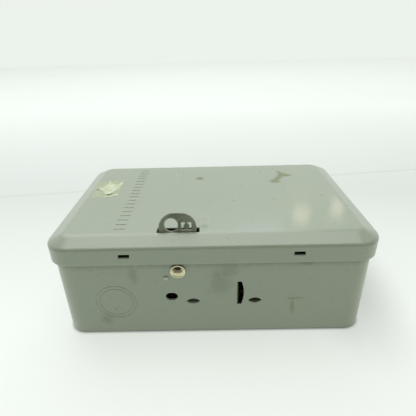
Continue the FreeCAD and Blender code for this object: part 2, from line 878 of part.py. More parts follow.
def make_cover_leaf(side, x):
    plate = (RIM_FAR, RIM_FAR + D.leaf_sheet)
    low = D.hinge_z + D.knuckle_radius + 0.8
    reach = span(x, D.knuckle_middle * 2)
    body = new_body()
    pad(body, "YZ_Plane", span(x, D.hinge_wide), rectangle(plate, (low, D.leaf_high)))
    knuckle(body, reach, rectangle(plate, (D.hinge_z, low)))
    cut(body, "YZ_Plane", reach, Disc(D.hinge_y, D.hinge_z, D.hinge_pin_radius + D.fit_gap))
    rivet_holes(body, plate, x, D.leaf_high - D.leaf_hole_drop)
    return keep(body, "cover_hinge_leaf_" + side)


def make_hinge_pin(side, x):
    left, right = span(x, D.hinge_wide)
    centre = (D.hinge_y, D.hinge_z)
    shaft = rod("x", (left, right), centre, D.hinge_pin_radius)
    head = rod("x", (right, right + 1), centre, D.knuckle_radius - 0.3)
    return keep(fuse(shaft, head), "hinge_pin_" + side)


def make_hinge_rivets():
    """Domed rivets of both leaves: one group in the box and one in the cover."""
    sizes = (D.hinge_rivet_head, D.hinge_rivet_dome, D.hinge_rivet_shank, 1)
    spots = [x + D.hinge_rivet_x * side for x in HINGES.values() for side in SIDES]
    box_face = FAR + D.leaf_sheet
    cover_face = RIM_FAR + D.leaf_sheet
    in_box = [rivet(box_face, INNER_FAR, (x, D.leaf_low + D.leaf_hole_rise), *sizes) for x in spots]
    cover_z = D.leaf_high - D.leaf_hole_drop
    in_cover = [rivet(cover_face, RIM_FAR - D.sheet, (x, cover_z), *sizes) for x in spots]
    keep(group(in_box), "box_leaf_rivets")
    keep(group(in_cover), "cover_leaf_rivets")


# ---- inside of the box ---------------------------------------------------------------------


def make_pan():
    """A hat-shaped steel pan that carries the bus and the breakers."""
    half = D.pan_long / 2
    foot = half + D.pan_foot
    low = D.sheet
    thick = D.pan_sheet
    outline = [
        (-foot, low), (-half + thick, low), (-half + thick, D.pan_top - thick),
        (half - thick, D.pan_top - thick), (half - thick, low), (foot, low),
        (foot, low + thick), (half, low + thick), (half, D.pan_top),
        (-half, D.pan_top), (-half, low + thick), (-foot, low + thick),
    ]
    body = new_body()
    pad(body, "XZ_Plane", (D.pan_front, D.pan_back), outline)
    holes = [Disc(x, y, SCREW_HOLE) for x, y in PAN_SCREWS]
    cut(body, "XY_Plane", (low, low + thick), *holes)
    keep(body, "interior_pan")
    length = D.sheet + thick - D.fit_gap * 2
    keep(group([screw(x, y, low + thick, length) for x, y in PAN_SCREWS]), "pan_screws")


def make_rail():
    """A folded rail that the breakers hook on to at their outer ends."""
    thick = D.pan_sheet
    low, high = span(D.rail_y, D.rail_wide)
    outline = [
        (low, D.pan_top), (low + thick, D.pan_top), (low + thick, D.breaker_low - thick),
        (high - thick, D.breaker_low - thick), (high - thick, D.pan_top), (high, D.pan_top),
        (high, D.breaker_low), (low, D.breaker_low),
    ]
    body = new_body()
    pad(body, "YZ_Plane", span(Size(0), D.breaker_pitch * 4), outline)
    return keep(body, "breaker_rail")


def make_bus_base():
    """The moulded insulator under the bus bars, with a ridge along each long side."""
    across = span(Size(0), D.base_long)
    body = new_body()
    pad(body, "XY_Plane", (D.pan_top, D.base_top), rectangle(across, (D.base_low_y, D.base_high_y)))
    for y in ((D.base_low_y, D.base_low_y + D.base_ridge), (D.base_high_y - D.base_ridge, D.base_high_y)):
        pad(body, "XY_Plane", (D.base_top - HAIR, D.breaker_low), rectangle(across, y))
    for y in (D.bar_a_y, D.bar_b_y):
        holes = [Disc(BASE_SCREW_X * side, y, SCREW_HOLE) for side in SIDES]
        cut(body, "XY_Plane", (D.base_top - D.base_screw_deep, D.base_top), *holes)
    return keep(body, "bus_base")


def make_bus_bar(name, bar_y, served):
    """One bus bar with a finger and an upright stab for every second breaker."""
    body = new_body()
    level = (D.base_top, BAR_TOP)
    pad(body, "XY_Plane", level, rectangle((D.bar_left, D.bar_right), span(bar_y, D.bar_wide)))
    stab = span(D.stab_y, D.stab_wide)
    finger = (stab[0], bar_y) if bar_y.number > D.stab_y.number else (bar_y, stab[1])
    for x in served:
        pad(body, "XY_Plane", level, rectangle(span(x, D.finger_wide), finger))
        pad(body, "XY_Plane", (BAR_TOP - HAIR, BAR_TOP + D.stab_high), rectangle(span(x, D.stab_thick), stab))
    holes = [Disc(BASE_SCREW_X * side, bar_y, SCREW_HOLE) for side in SIDES]
    cut(body, "XY_Plane", level, *holes)
    return keep(body, "bus_bar_" + name)


def make_bus_screws():
    made = []
    for y in (D.bar_a_y, D.bar_b_y):
        made += [screw(BASE_SCREW_X * side, y, BAR_TOP, D.bar_thick + D.screw_bite) for side in SIDES]
    return keep(group(made), "bus_bar_screws")


def make_lug(name, y):
    """A main lug on the end of a bus bar: a block with a cable bore along X and a set screw hole."""
    x = (D.bar_right - D.lug_long, D.bar_right)
    level = (BAR_TOP, BAR_TOP + D.lug_high)
    middle = (BAR_TOP + BAR_TOP + D.lug_high) / 2
    body = new_body()
    pad(body, "XY_Plane", level, rectangle(x, span(y, D.lug_wide)))
    round_edges(body, D.lug_corner, lambda edge: along(edge, "x"))
    cut(body, "YZ_Plane", x, Disc(y, middle, D.lug_bore))
    hole = Disc(D.bar_right - D.lug_long / 2, y, D.lug_screw_radius + D.fit_gap)
    cut(body, "XY_Plane", (middle, BAR_TOP + D.lug_high), hole)
    return keep(body, "main_lug_" + name)


def set_screw(x, y, top, length, radius):
    """A headless slotted screw."""
    slot = block(span(x, radius * 3), span(y, D.screw_slot), (top - D.screw_slot, top + 1))
    return take(rod("z", (top - length, top), (x, y), radius), slot)


def make_lug_screws():
    top = BAR_TOP + D.lug_high + D.lug_screw_proud
    x = D.bar_right - D.lug_long / 2
    sizes = (top, D.lug_screw_long, D.lug_screw_radius)
    return keep(group([set_screw(x, y, *sizes) for y in (D.bar_a_y, D.bar_b_y)]), "lug_set_screws")


def make_breaker_case(number, x):
    """A moulded breaker case with a button collar on top and a plug-in slot below."""
    half = D.breaker_wide / 2
    across = (x - half, x + half)
    side_view = [
        (D.breaker_front, D.breaker_low),
        (D.breaker_back, D.breaker_low),
        (D.breaker_back, D.breaker_shoulder),
        (D.breaker_back - D.breaker_step, D.breaker_high),
        (D.breaker_front + D.breaker_step, D.breaker_high),
        (D.breaker_front, D.breaker_shoulder),
    ]
    body = new_body()
    pad(body, "YZ_Plane", across, side_view)
    foot = (D.breaker_low, D.breaker_low)
    round_edges(body, D.breaker_round, lambda edge: along(edge, "x") and not within(edge, z=foot))
    collar = rectangle(span(x, D.collar_side), span(D.button_y, D.collar_side))
    pad(body, "XY_Plane", (D.breaker_high - HAIR, D.collar_high), collar)
    rise = (D.breaker_high - HAIR, D.collar_high)
    round_edges(body, D.collar_corner, lambda edge: along(edge, "z") and within(edge, z=rise))
    bore = Disc(x, D.button_y, D.button_radius + D.button_gap)
    cut(body, "XY_Plane", (D.button_well, D.collar_high), bore)
    gap = D.jaw_gap * 2
    jaw = rectangle(span(x, D.stab_thick + gap), span(D.stab_y, D.stab_wide + gap))
    cut(body, "XY_Plane", (D.breaker_low, BAR_TOP + D.stab_high + gap), jaw)
    mouth_low = D.terminal_z - gap
    mouth = rectangle(span(x, D.terminal_side + gap), (mouth_low, mouth_low + D.mouth_high))
    cut(body, "XZ_Plane", (D.breaker_front, D.breaker_front + D.terminal_seat), mouth)
    return keep(body, "breaker_case_%d" % number)


def make_button(number, x):
    """A round push button with a softened top edge and a dished finger face."""
    body = new_body()
    pad(body, "XY_Plane", (D.button_low, D.button_high), Disc(x, D.button_y, D.button_radius))
    round_edges(body, D.button_round, lambda edge: within(edge, z=(D.button_high, D.button_high)))
    dish_radius = D.button_radius * 3
    dish = ball(x, D.button_y, D.button_high + dish_radius - D.button_dish, dish_radius)
    return keep(take(body, dish), "push_button_%d" % number)


def make_terminals():
    """The load terminal of each breaker: a brass block with a wire hole, and its screw."""
    level = (D.terminal_z, D.terminal_z + D.terminal_side)
    front = (D.terminal_y, D.breaker_front + D.terminal_seat)
    middle = D.terminal_z + D.terminal_side / 2
    screw_y = D.terminal_y + D.terminal_screw_y
    blocks = []
    screws = []
    for x in BREAKERS:
        solid = block(span(x, D.terminal_side), front, level)
        wire = rod("y", (D.terminal_y, D.terminal_y + D.terminal_side), (x, middle), D.terminal_bore)
        seat = rod("z", (middle, D.terminal_z + D.terminal_side), (x, screw_y), SCREW_HOLE)
        blocks.append(take(solid, wire, seat))
        screws.append(screw(x, screw_y, level[1] + D.screw_slot, D.terminal_screw_y))
    keep(group(blocks), "load_terminals")
    keep(group(screws), "load_terminal_screws")


def terminal_bar(x, y, level, pitch, count, ends):
    """A terminal bar along X or Y with wire holes across it and a screw hole over each."""
    solid = block(x, y, level)
    along_x = x[1].number - x[0].number > y[1].number - y[0].number
    centre = ((x[0] + x[1]) / 2, (y[0] + y[1]) / 2)
    middle = (level[0] + level[1]) / 2
    tools = []
    for place in range(count):
        shift = pitch * (place - (count - 1) / 2)
        spot_x = centre[0] + shift if along_x else centre[0]
        spot_y = centre[1] if along_x else centre[1] + shift
        wire_reach = y if along_x else x
        wire_centre = (spot_x, middle) if along_x else (spot_y, middle)
        tools.append(rod("y" if along_x else "x", wire_reach, wire_centre, D.wire_hole))
        tools.append(rod("z", (middle, level[1]), (spot_x, spot_y), SCREW_HOLE))
    for end in ends:
        tools.append(rod("z", level, end, SCREW_HOLE))
    return take(solid, *tools), centre, along_x


def bar_screws(centre, along_x, top, pitch, count):
    made = []
    for place in range(count):
        shift = pitch * (place - (count - 1) / 2)
        x = centre[0] + shift if along_x else centre[0]
        y = centre[1] if along_x else centre[1] + shift
        made.append(screw(x, y, top + D.wire_screw_proud, D.wire_screw_head, D.wire_screw_head))
    return group(made)


def post(x, y, low, high, radius):
    """A round post with a screw hole down from its top."""
    bore = rod("z", (high - D.post_bore, high), (x, y), SCREW_HOLE)
    return take(rod("z", (low, high), (x, y), radius), bore)


def make_neutral():
    level = (D.neutral_low, D.neutral_low + D.neutral_side)
    ends = [(D.neutral_post_x * side, D.neutral_y) for side in SIDES]
    x = span(Size(0), D.neutral_long)
    y = span(D.neutral_y, D.neutral_side)
    bar, centre, along_x = terminal_bar(x, y, level, D.neutral_pitch, 8, ends)
    keep(bar, "neutral_bar")
    keep(bar_screws(centre, along_x, level[1], D.neutral_pitch, 8), "neutral_wire_screws")
    posts = [post(x, y, D.sheet, D.neutral_low, D.neutral_post_radius) for x, y in ends]
    keep(group(posts), "neutral_insulators")
    long = D.neutral_side + D.screw_bite
    keep(group([screw(x, y, level[1], long) for x, y in ends]), "neutral_mount_screws")


def make_ground():
    level = (D.ground_low, D.ground_low + D.ground_side)
    ends = [(D.ground_x, D.ground_post_y * side) for side in SIDES]
    x = span(D.ground_x, D.ground_side)
    y = span(Size(0), D.ground_long)
    bar, centre, along_x = terminal_bar(x, y, level, D.ground_pitch, 5, ends)
    keep(bar, "ground_bar")
    keep(bar_screws(centre, along_x, level[1], D.ground_pitch, 5), "ground_wire_screws")
    gap = (D.sheet, D.ground_low)
    feet = [take(rod("z", gap, end, D.screw_head), rod("z", gap, end, SCREW_HOLE)) for end in ends]
    keep(group(feet), "ground_spacers")
    long = D.ground_side + D.ground_bite
    keep(group([screw(x, y, level[1], long) for x, y in ends]), "ground_mount_screws")


def make_guard():
    """The plate in front of the live parts: folded long edges, four button holes, four posts."""
    across = span(Size(0), D.guard_long)
    deep = (D.guard_front, D.guard_back)
    body = new_body()
    pad(body, "XY_Plane", (D.guard_low, GUARD_TOP), rectangle(across, deep))
    round_edges(body, D.guard_corner, lambda edge: along(edge, "z"))
    for low in (D.guard_front, D.guard_back - D.guard_sheet):
        flange = rectangle(span(Size(0), D.guard_long - D.guard_corner * 2), (low, low + D.guard_sheet))
        pad(body, "XY_Plane", (D.guard_low - D.guard_flange, D.guard_low + HAIR), flange)
    side = D.collar_side + D.guard_gap * 2
    holes = [rectangle(span(x, side), span(D.button_y, side)) for x in BREAKERS]
    cut(body, "XY_Plane", (D.guard_low, GUARD_TOP), *holes)
    screw_holes = [Disc(x, y, SCREW_HOLE) for x, y in GUARD_POSTS]
    cut(body, "XY_Plane", (D.guard_low, GUARD_TOP), *screw_holes)
    keep(body, "dead_front")
    posts = [post(x, y, D.sheet, D.guard_low, D.guard_post_radius) for x, y in GUARD_POSTS]
    keep(group(posts), "dead_front_posts")
    long = D.guard_sheet + D.screw_bite
    keep(group([screw(x, y, GUARD_TOP, long) for x, y in GUARD_POSTS]), "dead_front_screws")


def make_card():
    """The circuit card and the thin frame that holds it against the inside of the cover."""
    across = (D.card_left, D.card_right)
    deep = (D.card_front, D.card_back)
    level = (COVER_INSIDE - D.card_sheet, COVER_INSIDE)
    keep(block(across, deep, level), "circuit_card")
    frame = new_body()
    frame_level = (COVER_INSIDE - D.card_sheet * 2, COVER_INSIDE)
    grown = rectangle((across[0] - D.card_frame, across[1] + D.card_frame),
                      (deep[0] - D.card_frame, deep[1] + D.card_frame))
    pad(frame, "XY_Plane", frame_level, grown)
    cut(frame, "XY_Plane", frame_level, rectangle(across, deep))
    keep(frame, "card_frame")


def make_all():
    make_back_box()
    make_cover()
    make_hasp()
    make_hasp_rivet()
    for side, x in CATCHES.items():
        make_catch(side, x)
    for side, x in HINGES.items():
        make_box_leaf(side, x)
        make_cover_leaf(side, x)
        make_hinge_pin(side, x)
    make_hinge_rivets()
    make_pan()
    make_rail()
    make_bus_base()
    make_bus_bar("a", D.bar_a_y, BREAKERS[0::2])
    make_bus_bar("b", D.bar_b_y, BREAKERS[1::2])
    make_bus_screws()
    make_lug("a", D.bar_a_y)
    make_lug("b", D.bar_b_y)
    make_lug_screws()
    for number, x in enumerate(BREAKERS, 1):
        make_breaker_case(number, x)
        make_button(number, x)
    make_terminals()
    make_neutral()
    make_ground()
    make_guard()
    make_card()


def check_and_write():
    """Stops on any failed object or bad shape, then writes one STEP file for each sub-part."""
    DOC.recompute()
    for thing in DOC.Objects:
        if "Invalid" in thing.State or "Error" in thing.State:
            raise RuntimeError("%s failed: %s" % (thing.Label, thing.State))
    for node in NODES:
        if node.Shape.isNull() or not node.Shape.isValid() or not node.Shape.Solids:
            raise RuntimeError("%s has no valid solid" % node.Label)
    os.makedirs("parts", exist_ok=True)
    for node in NODES:
        node.Shape.exportStep("parts/%s.step" % node.Label)


make_all()
check_and_write()
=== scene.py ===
import math

import bpy
from bpy.props import FloatProperty, FloatVectorProperty, IntProperty, PointerProperty
from mathutils import Matrix, Vector


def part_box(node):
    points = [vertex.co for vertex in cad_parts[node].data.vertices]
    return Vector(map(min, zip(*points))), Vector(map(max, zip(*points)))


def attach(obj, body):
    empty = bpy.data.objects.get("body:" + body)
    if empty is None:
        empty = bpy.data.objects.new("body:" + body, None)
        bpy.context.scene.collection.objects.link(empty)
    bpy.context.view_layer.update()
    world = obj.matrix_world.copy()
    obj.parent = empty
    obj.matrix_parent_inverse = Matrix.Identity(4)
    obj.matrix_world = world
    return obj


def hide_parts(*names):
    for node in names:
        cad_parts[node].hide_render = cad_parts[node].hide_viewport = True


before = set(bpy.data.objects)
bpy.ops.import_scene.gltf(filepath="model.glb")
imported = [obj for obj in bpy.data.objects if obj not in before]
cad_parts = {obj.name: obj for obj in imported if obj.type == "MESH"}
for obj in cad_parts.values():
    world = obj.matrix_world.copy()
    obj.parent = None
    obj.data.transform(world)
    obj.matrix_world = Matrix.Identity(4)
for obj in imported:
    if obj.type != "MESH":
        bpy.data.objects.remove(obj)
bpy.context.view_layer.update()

bl_info = {
    "name": "Breaker Panel Box",
    "version": (1, 0, 0),
    "blender": (4, 5, 0),
    "location": "3D View > Sidebar > Panel Box",
    "description": "Finishes and small pieces of a grey enamelled breaker panel box",
    "category": "Object",
}

MM = 0.001
COVER_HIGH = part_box("cover")[1]
BOX_LOW, BOX_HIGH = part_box("back_box")
RIVET_LOW, RIVET_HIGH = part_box("hasp_rivet")
RIB_RISE = 0.3 * MM
COVER_FACE = COVER_HIGH[2] - RIB_RISE
RIVET_X = (RIVET_LOW[0] + RIVET_HIGH[0]) / 2 / MM
RIVET_Z = (RIVET_LOW[2] + RIVET_HIGH[2]) / 2 / MM
FOOT_CORNER = 17 * MM
DOME_OVER_LIP = 1.1 * MM
LABEL_GAP = 0.01 * MM
TEAR_SCALE = 60
FLOOR_NEAR_GLOW = 0.76
FLOOR_BACK_GLOW = 0.54
WALL_EXTRA_GLOW = 0.2
LIGHTS_AIM = Vector((0, 0, 50 * MM))


# ---- shared helpers ------------------------------------------------------------------------


def linear(code):
    """An sRGB hex colour as linear red, green and blue."""
    channels = [int(code[place:place + 2], 16) / 255 for place in (0, 2, 4)]
    return tuple(c / 12.92 if c <= 0.04045 else ((c + 0.055) / 1.055) ** 2.4 for c in channels)


def tint(code):
    """The same with an opaque alpha, for a colour socket."""
    return (*linear(code), 1.0)


def add_node(tree, kind, inputs=(), **settings):
    """Adds one shader node. Its inputs, by name or in order, each get a value or what feeds them."""
    made = tree.nodes.new("ShaderNode" + kind)
    for name, value in settings.items():
        setattr(made, name, value)
    in_order = [socket for socket in made.inputs if socket.enabled]
    for key, value in inputs.items() if isinstance(inputs, dict) else enumerate(inputs):
        socket = made.inputs[key] if isinstance(key, str) else in_order[key]
        if isinstance(value, bpy.types.Node):
            value = next(output for output in value.outputs if output.enabled)
        if isinstance(value, bpy.types.NodeSocket):
            tree.links.new(value, socket)
        else:
            socket.default_value = value
    return made


def new_material(name):
    """An empty node material; gives it, its tree and the object coordinates in metres."""
    material = bpy.data.materials.new(name)
    material.use_nodes = True
    tree = material.node_tree
    tree.nodes.clear()
    return material, tree, add_node(tree, "TexCoord").outputs["Object"]


def patch(tree, place, centre, reach, turn=0.0, ragged=0.25, grain=4 * MM, soft=0.35):
    """A ragged ellipsoid mark: 1 inside and 0 outside, with its centre and half sizes in metres."""
    local = add_node(tree, "Mapping", (place, centre, (0, 0, turn), reach), vector_type="TEXTURE")
    ball = add_node(tree, "TexGradient", (local,), gradient_type="SPHERICAL").outputs["Fac"]
    grit = add_node(tree, "TexNoise", (place, 1 / grain, 4.0))
    edge = add_node(tree, "Math", (grit, ragged * 2, -ragged), operation="MULTIPLY_ADD")
    level = add_node(tree, "Math", (ball, edge))
    return add_node(tree, "MapRange", (level, 0.5 - soft, 0.5 + soft), interpolation_type="SMOOTHSTEP")


def dress(node_name, material):
    """Gives a CAD node its material in every slot."""
    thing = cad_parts[node_name]
    if not thing.data.materials:
        thing.data.materials.append(material)
    for slot in thing.material_slots:
        slot.material = material


def dress_group(prefix, material):
    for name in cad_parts:
        if name.startswith(prefix):
            dress(name, material)


def deselect():
    if bpy.context.mode != "OBJECT":
        bpy.ops.object.mode_set(mode="OBJECT")
    bpy.ops.object.select_all(action="DESELECT")


def edit(thing, pick, mode="FACE"):
    """Enters edit mode on one object with only the elements chosen by pick selected."""
    deselect()
    bpy.context.view_layer.objects.active = thing
    thing.select_set(True)
    bpy.ops.object.mode_set(mode="EDIT")
    bpy.ops.mesh.select_mode(type=mode)
    bpy.ops.mesh.select_all(action="DESELECT")
    bpy.ops.object.mode_set(mode="OBJECT")
    elements = {"FACE": thing.data.polygons, "EDGE": thing.data.edges, "VERT": thing.data.vertices}[mode]
    for element in elements:
        element.select = bool(pick(element))
    bpy.ops.object.mode_set(mode="EDIT")


def leave_edit():
    bpy.ops.object.mode_set(mode="OBJECT")


def settle(thing, name, material, body, smooth_angle=40):
    """Applies a piece's place to its mesh, smooths it, and gives it a name, a finish and a body."""
    deselect()
    thing.name = name
    thing.data.name = name
    bpy.context.view_layer.objects.active = thing
    thing.select_set(True)
    bpy.ops.object.transform_apply(location=True, rotation=True, scale=True)
    bpy.ops.object.shade_smooth_by_angle(angle=math.radians(smooth_angle))
    thing.data.materials.clear()
    thing.data.materials.append(material)
    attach(thing, body)
    return thing


# ---- materials -----------------------------------------------------------------------------


AGED_ENAMEL = "A1A88C"
DUST = "C3C6BC"
# Pale primer, for bared bends and scratches, and also as a painted highlight on the hasp's stud.
PRIMER_AND_HIGHLIGHT = "C4C9BC"
# Dark grey-green, for grime and also for painted shade.
GRIME_AND_SHADE = "55594A"
OLD_GLUE = "717944"
RUST_WASH = "73703F"
# Near black: painted shade on the inner edge of the cover's hasp slot.
SLOT_SHADE = "1B1D17"
# Dark brown: painted reflection on the upper half of the rivet's dome.
DOME_TOP_SHADE = "4F4832"
DRAWN_STRETCH = 0.08
HAIR_STRETCH = 0.05
HAIR_TURN = 0.7


def worn_edges(tree, place, width, share):
    """1 where a bend is tight and rubbed: the rounded normal leaves the true one there."""
    rounded = add_node(tree, "Bevel", {"Radius": width}, samples=4)
    true = add_node(tree, "NewGeometry").outputs["Normal"]
    facing = add_node(tree, "VectorMath", (rounded, true), operation="DOT_PRODUCT")
    sharp = add_node(tree, "MapRange", (facing, 0.985, 0.93), interpolation_type="SMOOTHSTEP")
    wear = add_node(tree, "TexNoise", (place, 1 / (5 * MM), 6.0))
    rubbed = add_node(tree, "MapRange", (wear, 0.62 - share, 0.72 - share))
    return add_node(tree, "Math", (sharp, rubbed), operation="MULTIPLY")


def stain_and_shade(tree, place, shade, marks):
    """Lays each mark's spots over a colour, for stains and for painted shade or highlight: marks are rows
    of strength, colour and patch places.
    """
    for amount, colour, spots in marks:
        for spot in spots:
            spread = add_node(tree, "Math", (patch(tree, place, **spot), amount), operation="MULTIPLY")
            shade = add_node(tree, "Mix", (spread, shade, tint(colour)), data_type="RGBA")
    return shade


def baked_enamel(name, colour, marks=(), rubbed=0.12, edge=0.7 * MM, gloss=0.3):
    """Baked enamel sprayed on pressed steel: a semi-gloss skin with fine orange peel and a slow
    ripple, a little dust, a faint yellow cast where it has aged, hair scratches and rubbed bends
    that show the pale primer, and the stains and painted shade that are named for it."""
    material, tree, place = new_material(name)
    slow = add_node(tree, "TexNoise", (place, 1 / (90 * MM), 3.0))
    yellowed = add_node(tree, "MapRange", (slow, 0.35, 0.7, 0.0, 0.35))
    shade = add_node(tree, "Mix", (yellowed, colour, tint(AGED_ENAMEL)), data_type="RGBA")
    fine = add_node(tree, "TexNoise", (place, 1 / (7 * MM), 5.0))
    dusty = add_node(tree, "MapRange", (fine, 0.35, 0.8, 0.0, 0.08))
    shade = add_node(tree, "Mix", (dusty, shade, tint(DUST)), data_type="RGBA")
    shade = stain_and_shade(tree, place, shade, marks)
    worn = worn_edges(tree, place, edge, rubbed)
    bared = add_node(tree, "Math", (worn, 0.7), operation="MULTIPLY")
    shade = add_node(tree, "Mix", (bared, shade, tint(PRIMER_AND_HIGHLIGHT)), data_type="RGBA")
    along = add_node(tree, "Mapping", {
        "Vector": place,
        "Scale": (1, HAIR_STRETCH, 1),
        "Rotation": (0, 0, HAIR_TURN),
    })
    hairs = add_node(tree, "TexNoise", (along, 1 / (2 * MM), 1.0))
    thin = add_node(tree, "MapRange", (hairs, 0.7, 0.74))
    handled = add_node(tree, "TexNoise", (place, 1 / (45 * MM), 2.0))
    some = add_node(tree, "MapRange", (handled, 0.5, 0.62, 0.0, 0.2))
    scratched = add_node(tree, "Math", (thin, some), operation="MULTIPLY")
    shade = add_node(tree, "Mix", (scratched, shade, tint(PRIMER_AND_HIGHLIGHT)), data_type="RGBA")
    sheen = add_node(tree, "MapRange", (fine, 0.2, 0.8, gloss - 0.05, gloss + 0.08))
    roughness = add_node(tree, "Math", (worn, 0.2, sheen), operation="MULTIPLY_ADD")
    ripple = add_node(tree, "TexNoise", (place, 1 / (30 * MM), 1.0))
    pressed = add_node(tree, "Bevel", {"Radius": 1.3 * MM}, samples=8)
    wavy = add_node(tree, "Bump", {
        "Height": ripple,
        "Distance": 0.3 * MM,
        "Strength": 0.5,
        "Normal": pressed,
    })
    peel = add_node(tree, "TexNoise", (place, 1 / (1.6 * MM)))
    skin = add_node(tree, "Bump", {
        "Height": peel,
        "Distance": 0.02 * MM,
        "Strength": 0.5,
        "Normal": wavy,
    })
    shader = add_node(tree, "BsdfPrincipled", {
        "Base Color": shade,
        "Roughness": roughness,
        "IOR": 1.5,
        "Coat Weight": 0.3,
        "Coat Roughness": 0.11,
        "Normal": skin,
    })
    add_node(tree, "OutputMaterial", {"Surface": shader})
    return material


def plated_metal(name, colour, tarnish, grain, rough, spots=0.2, marks=()):
    """Plated or rolled metal: metallic, with a fine drawn grain and dull tarnish in soft blotches."""
    material, tree, place = new_material(name)
    along = add_node(tree, "Mapping", {"Vector": place, "Scale": (DRAWN_STRETCH, 1.0, 1.0)})
    drawn = add_node(tree, "TexNoise", (along, 1 / grain, 3.0))
    cloud = add_node(tree, "TexNoise", (place, 1 / (9 * MM), 6.0, 0.65))
    dull = add_node(tree, "MapRange", (cloud, 0.5, 0.75, 0.0, spots))
    shade = add_node(tree, "Mix", (dull, tint(colour), tint(tarnish)), data_type="RGBA")
    shade = stain_and_shade(tree, place, shade, marks)
    uneven = add_node(tree, "MapRange", (drawn, 0.25, 0.8, rough - 0.06, rough + 0.1))
    roughness = add_node(tree, "Math", (dull, 0.35, uneven), operation="MULTIPLY_ADD")
    lines = add_node(tree, "Bump", {"Height": drawn, "Distance": 0.02 * MM, "Strength": 0.4})
    shader = add_node(tree, "BsdfPrincipled", {
        "Base Color": shade,
        "Metallic": 1.0,
        "Roughness": roughness,
        "Normal": lines,
    })
    add_node(tree, "OutputMaterial", {"Surface": shader})
    return material


def moulding(name, colour, pale, rough, grit=0.5 * MM):
    """Compression-moulded thermoset: a fine satin grain, paler dust in the open and rubbed edges."""
    material, tree, place = new_material(name)
    cloud = add_node(tree, "TexNoise", (place, 1 / (22 * MM), 5.0))
    dusty = add_node(tree, "MapRange", (cloud, 0.4, 0.8, 0.0, 0.3))
    shade = add_node(tree, "Mix", (dusty, tint(colour), tint(pale)), data_type="RGBA")
    worn = add_node(tree, "Math", (worn_edges(tree, place, 0.4 * MM, 0.1), 0.4), operation="MULTIPLY")
    shade = add_node(tree, "Mix", (worn, shade, tint(pale)), data_type="RGBA")
    speck = add_node(tree, "TexNoise", (place, 1 / grit))
    roughness = add_node(tree, "MapRange", (speck, 0.2, 0.8, rough - 0.05, rough + 0.1))
    grain = add_node(tree, "Bump", {"Height": speck, "Distance": 0.03 * MM, "Strength": 0.35})
    shader = add_node(tree, "BsdfPrincipled", {
        "Base Color": shade,
        "Roughness": roughness,
        "IOR": 1.55,
        "Normal": grain,
    })
    add_node(tree, "OutputMaterial", {"Surface": shader})
    return material


def settings():
    return bpy.context.scene.panel_box


class PanelBoxSettings(bpy.types.PropertyGroup):
    """Sizes and colours that a user may change before the operators are run."""

    camera_place: FloatVectorProperty(
        name="Camera place",
        description="Where the camera stands",
        default=(0.75 * MM, -315.8 * MM, 241.1 * MM),
        subtype="TRANSLATION",
        unit="LENGTH",
    )
    camera_down: FloatProperty(
        name="Camera tilt",
        description="How far the camera looks below the horizon",
        default=math.radians(26.98),
        subtype="ANGLE",
    )
    camera_turn: FloatProperty(
        name="Camera turn",
        description="Turn of the camera about the upright axis",
        default=math.radians(0.825),
        subtype="ANGLE",
    )
    camera_roll: FloatProperty(
        name="Camera roll",
        description="Roll of the camera about its own line of sight",
        default=math.radians(-1.563),
        subtype="ANGLE",
    )
    camera_lens: FloatProperty(name="Lens", description="Focal length in millimetres", default=29.98)
    label_thickness: FloatProperty(
        name="Label thickness",
        description="Thickness of the torn paper",
        default=0.18 * MM,
        unit="LENGTH",
    )
    label_curl: FloatProperty(
        name="Label curl",
        description="How far the torn tips stand off the cover",
        default=0.9 * MM,
        unit="LENGTH",
    )
    label_seed: IntProperty(name="Tear seed", description="Seed of the torn edge", default=7)
    rivet_lip: FloatProperty(
        name="Rivet lip",
        description="Height of the rolled rim of the rivet's head",
        default=0.9 * MM,
        unit="LENGTH",
    )
    enamel: FloatVectorProperty(
        name="Enamel",
        description="Colour of the box and the cover",
        default=linear("A0AB98"),
        subtype="COLOR",
        size=3,
    )
    hasp_enamel: FloatVectorProperty(
        name="Hasp enamel",
        description="Colour of the padlock hasp",
        default=linear("8B927D"),
        subtype="COLOR",
        size=3,
    )
    card_pitch: FloatProperty(
        name="Card line pitch",
        description="Distance between the ruled lines of the circuit card",
        default=8 * MM,
        unit="LENGTH",
    )


# ---- operators -----------------------------------------------------------------------------


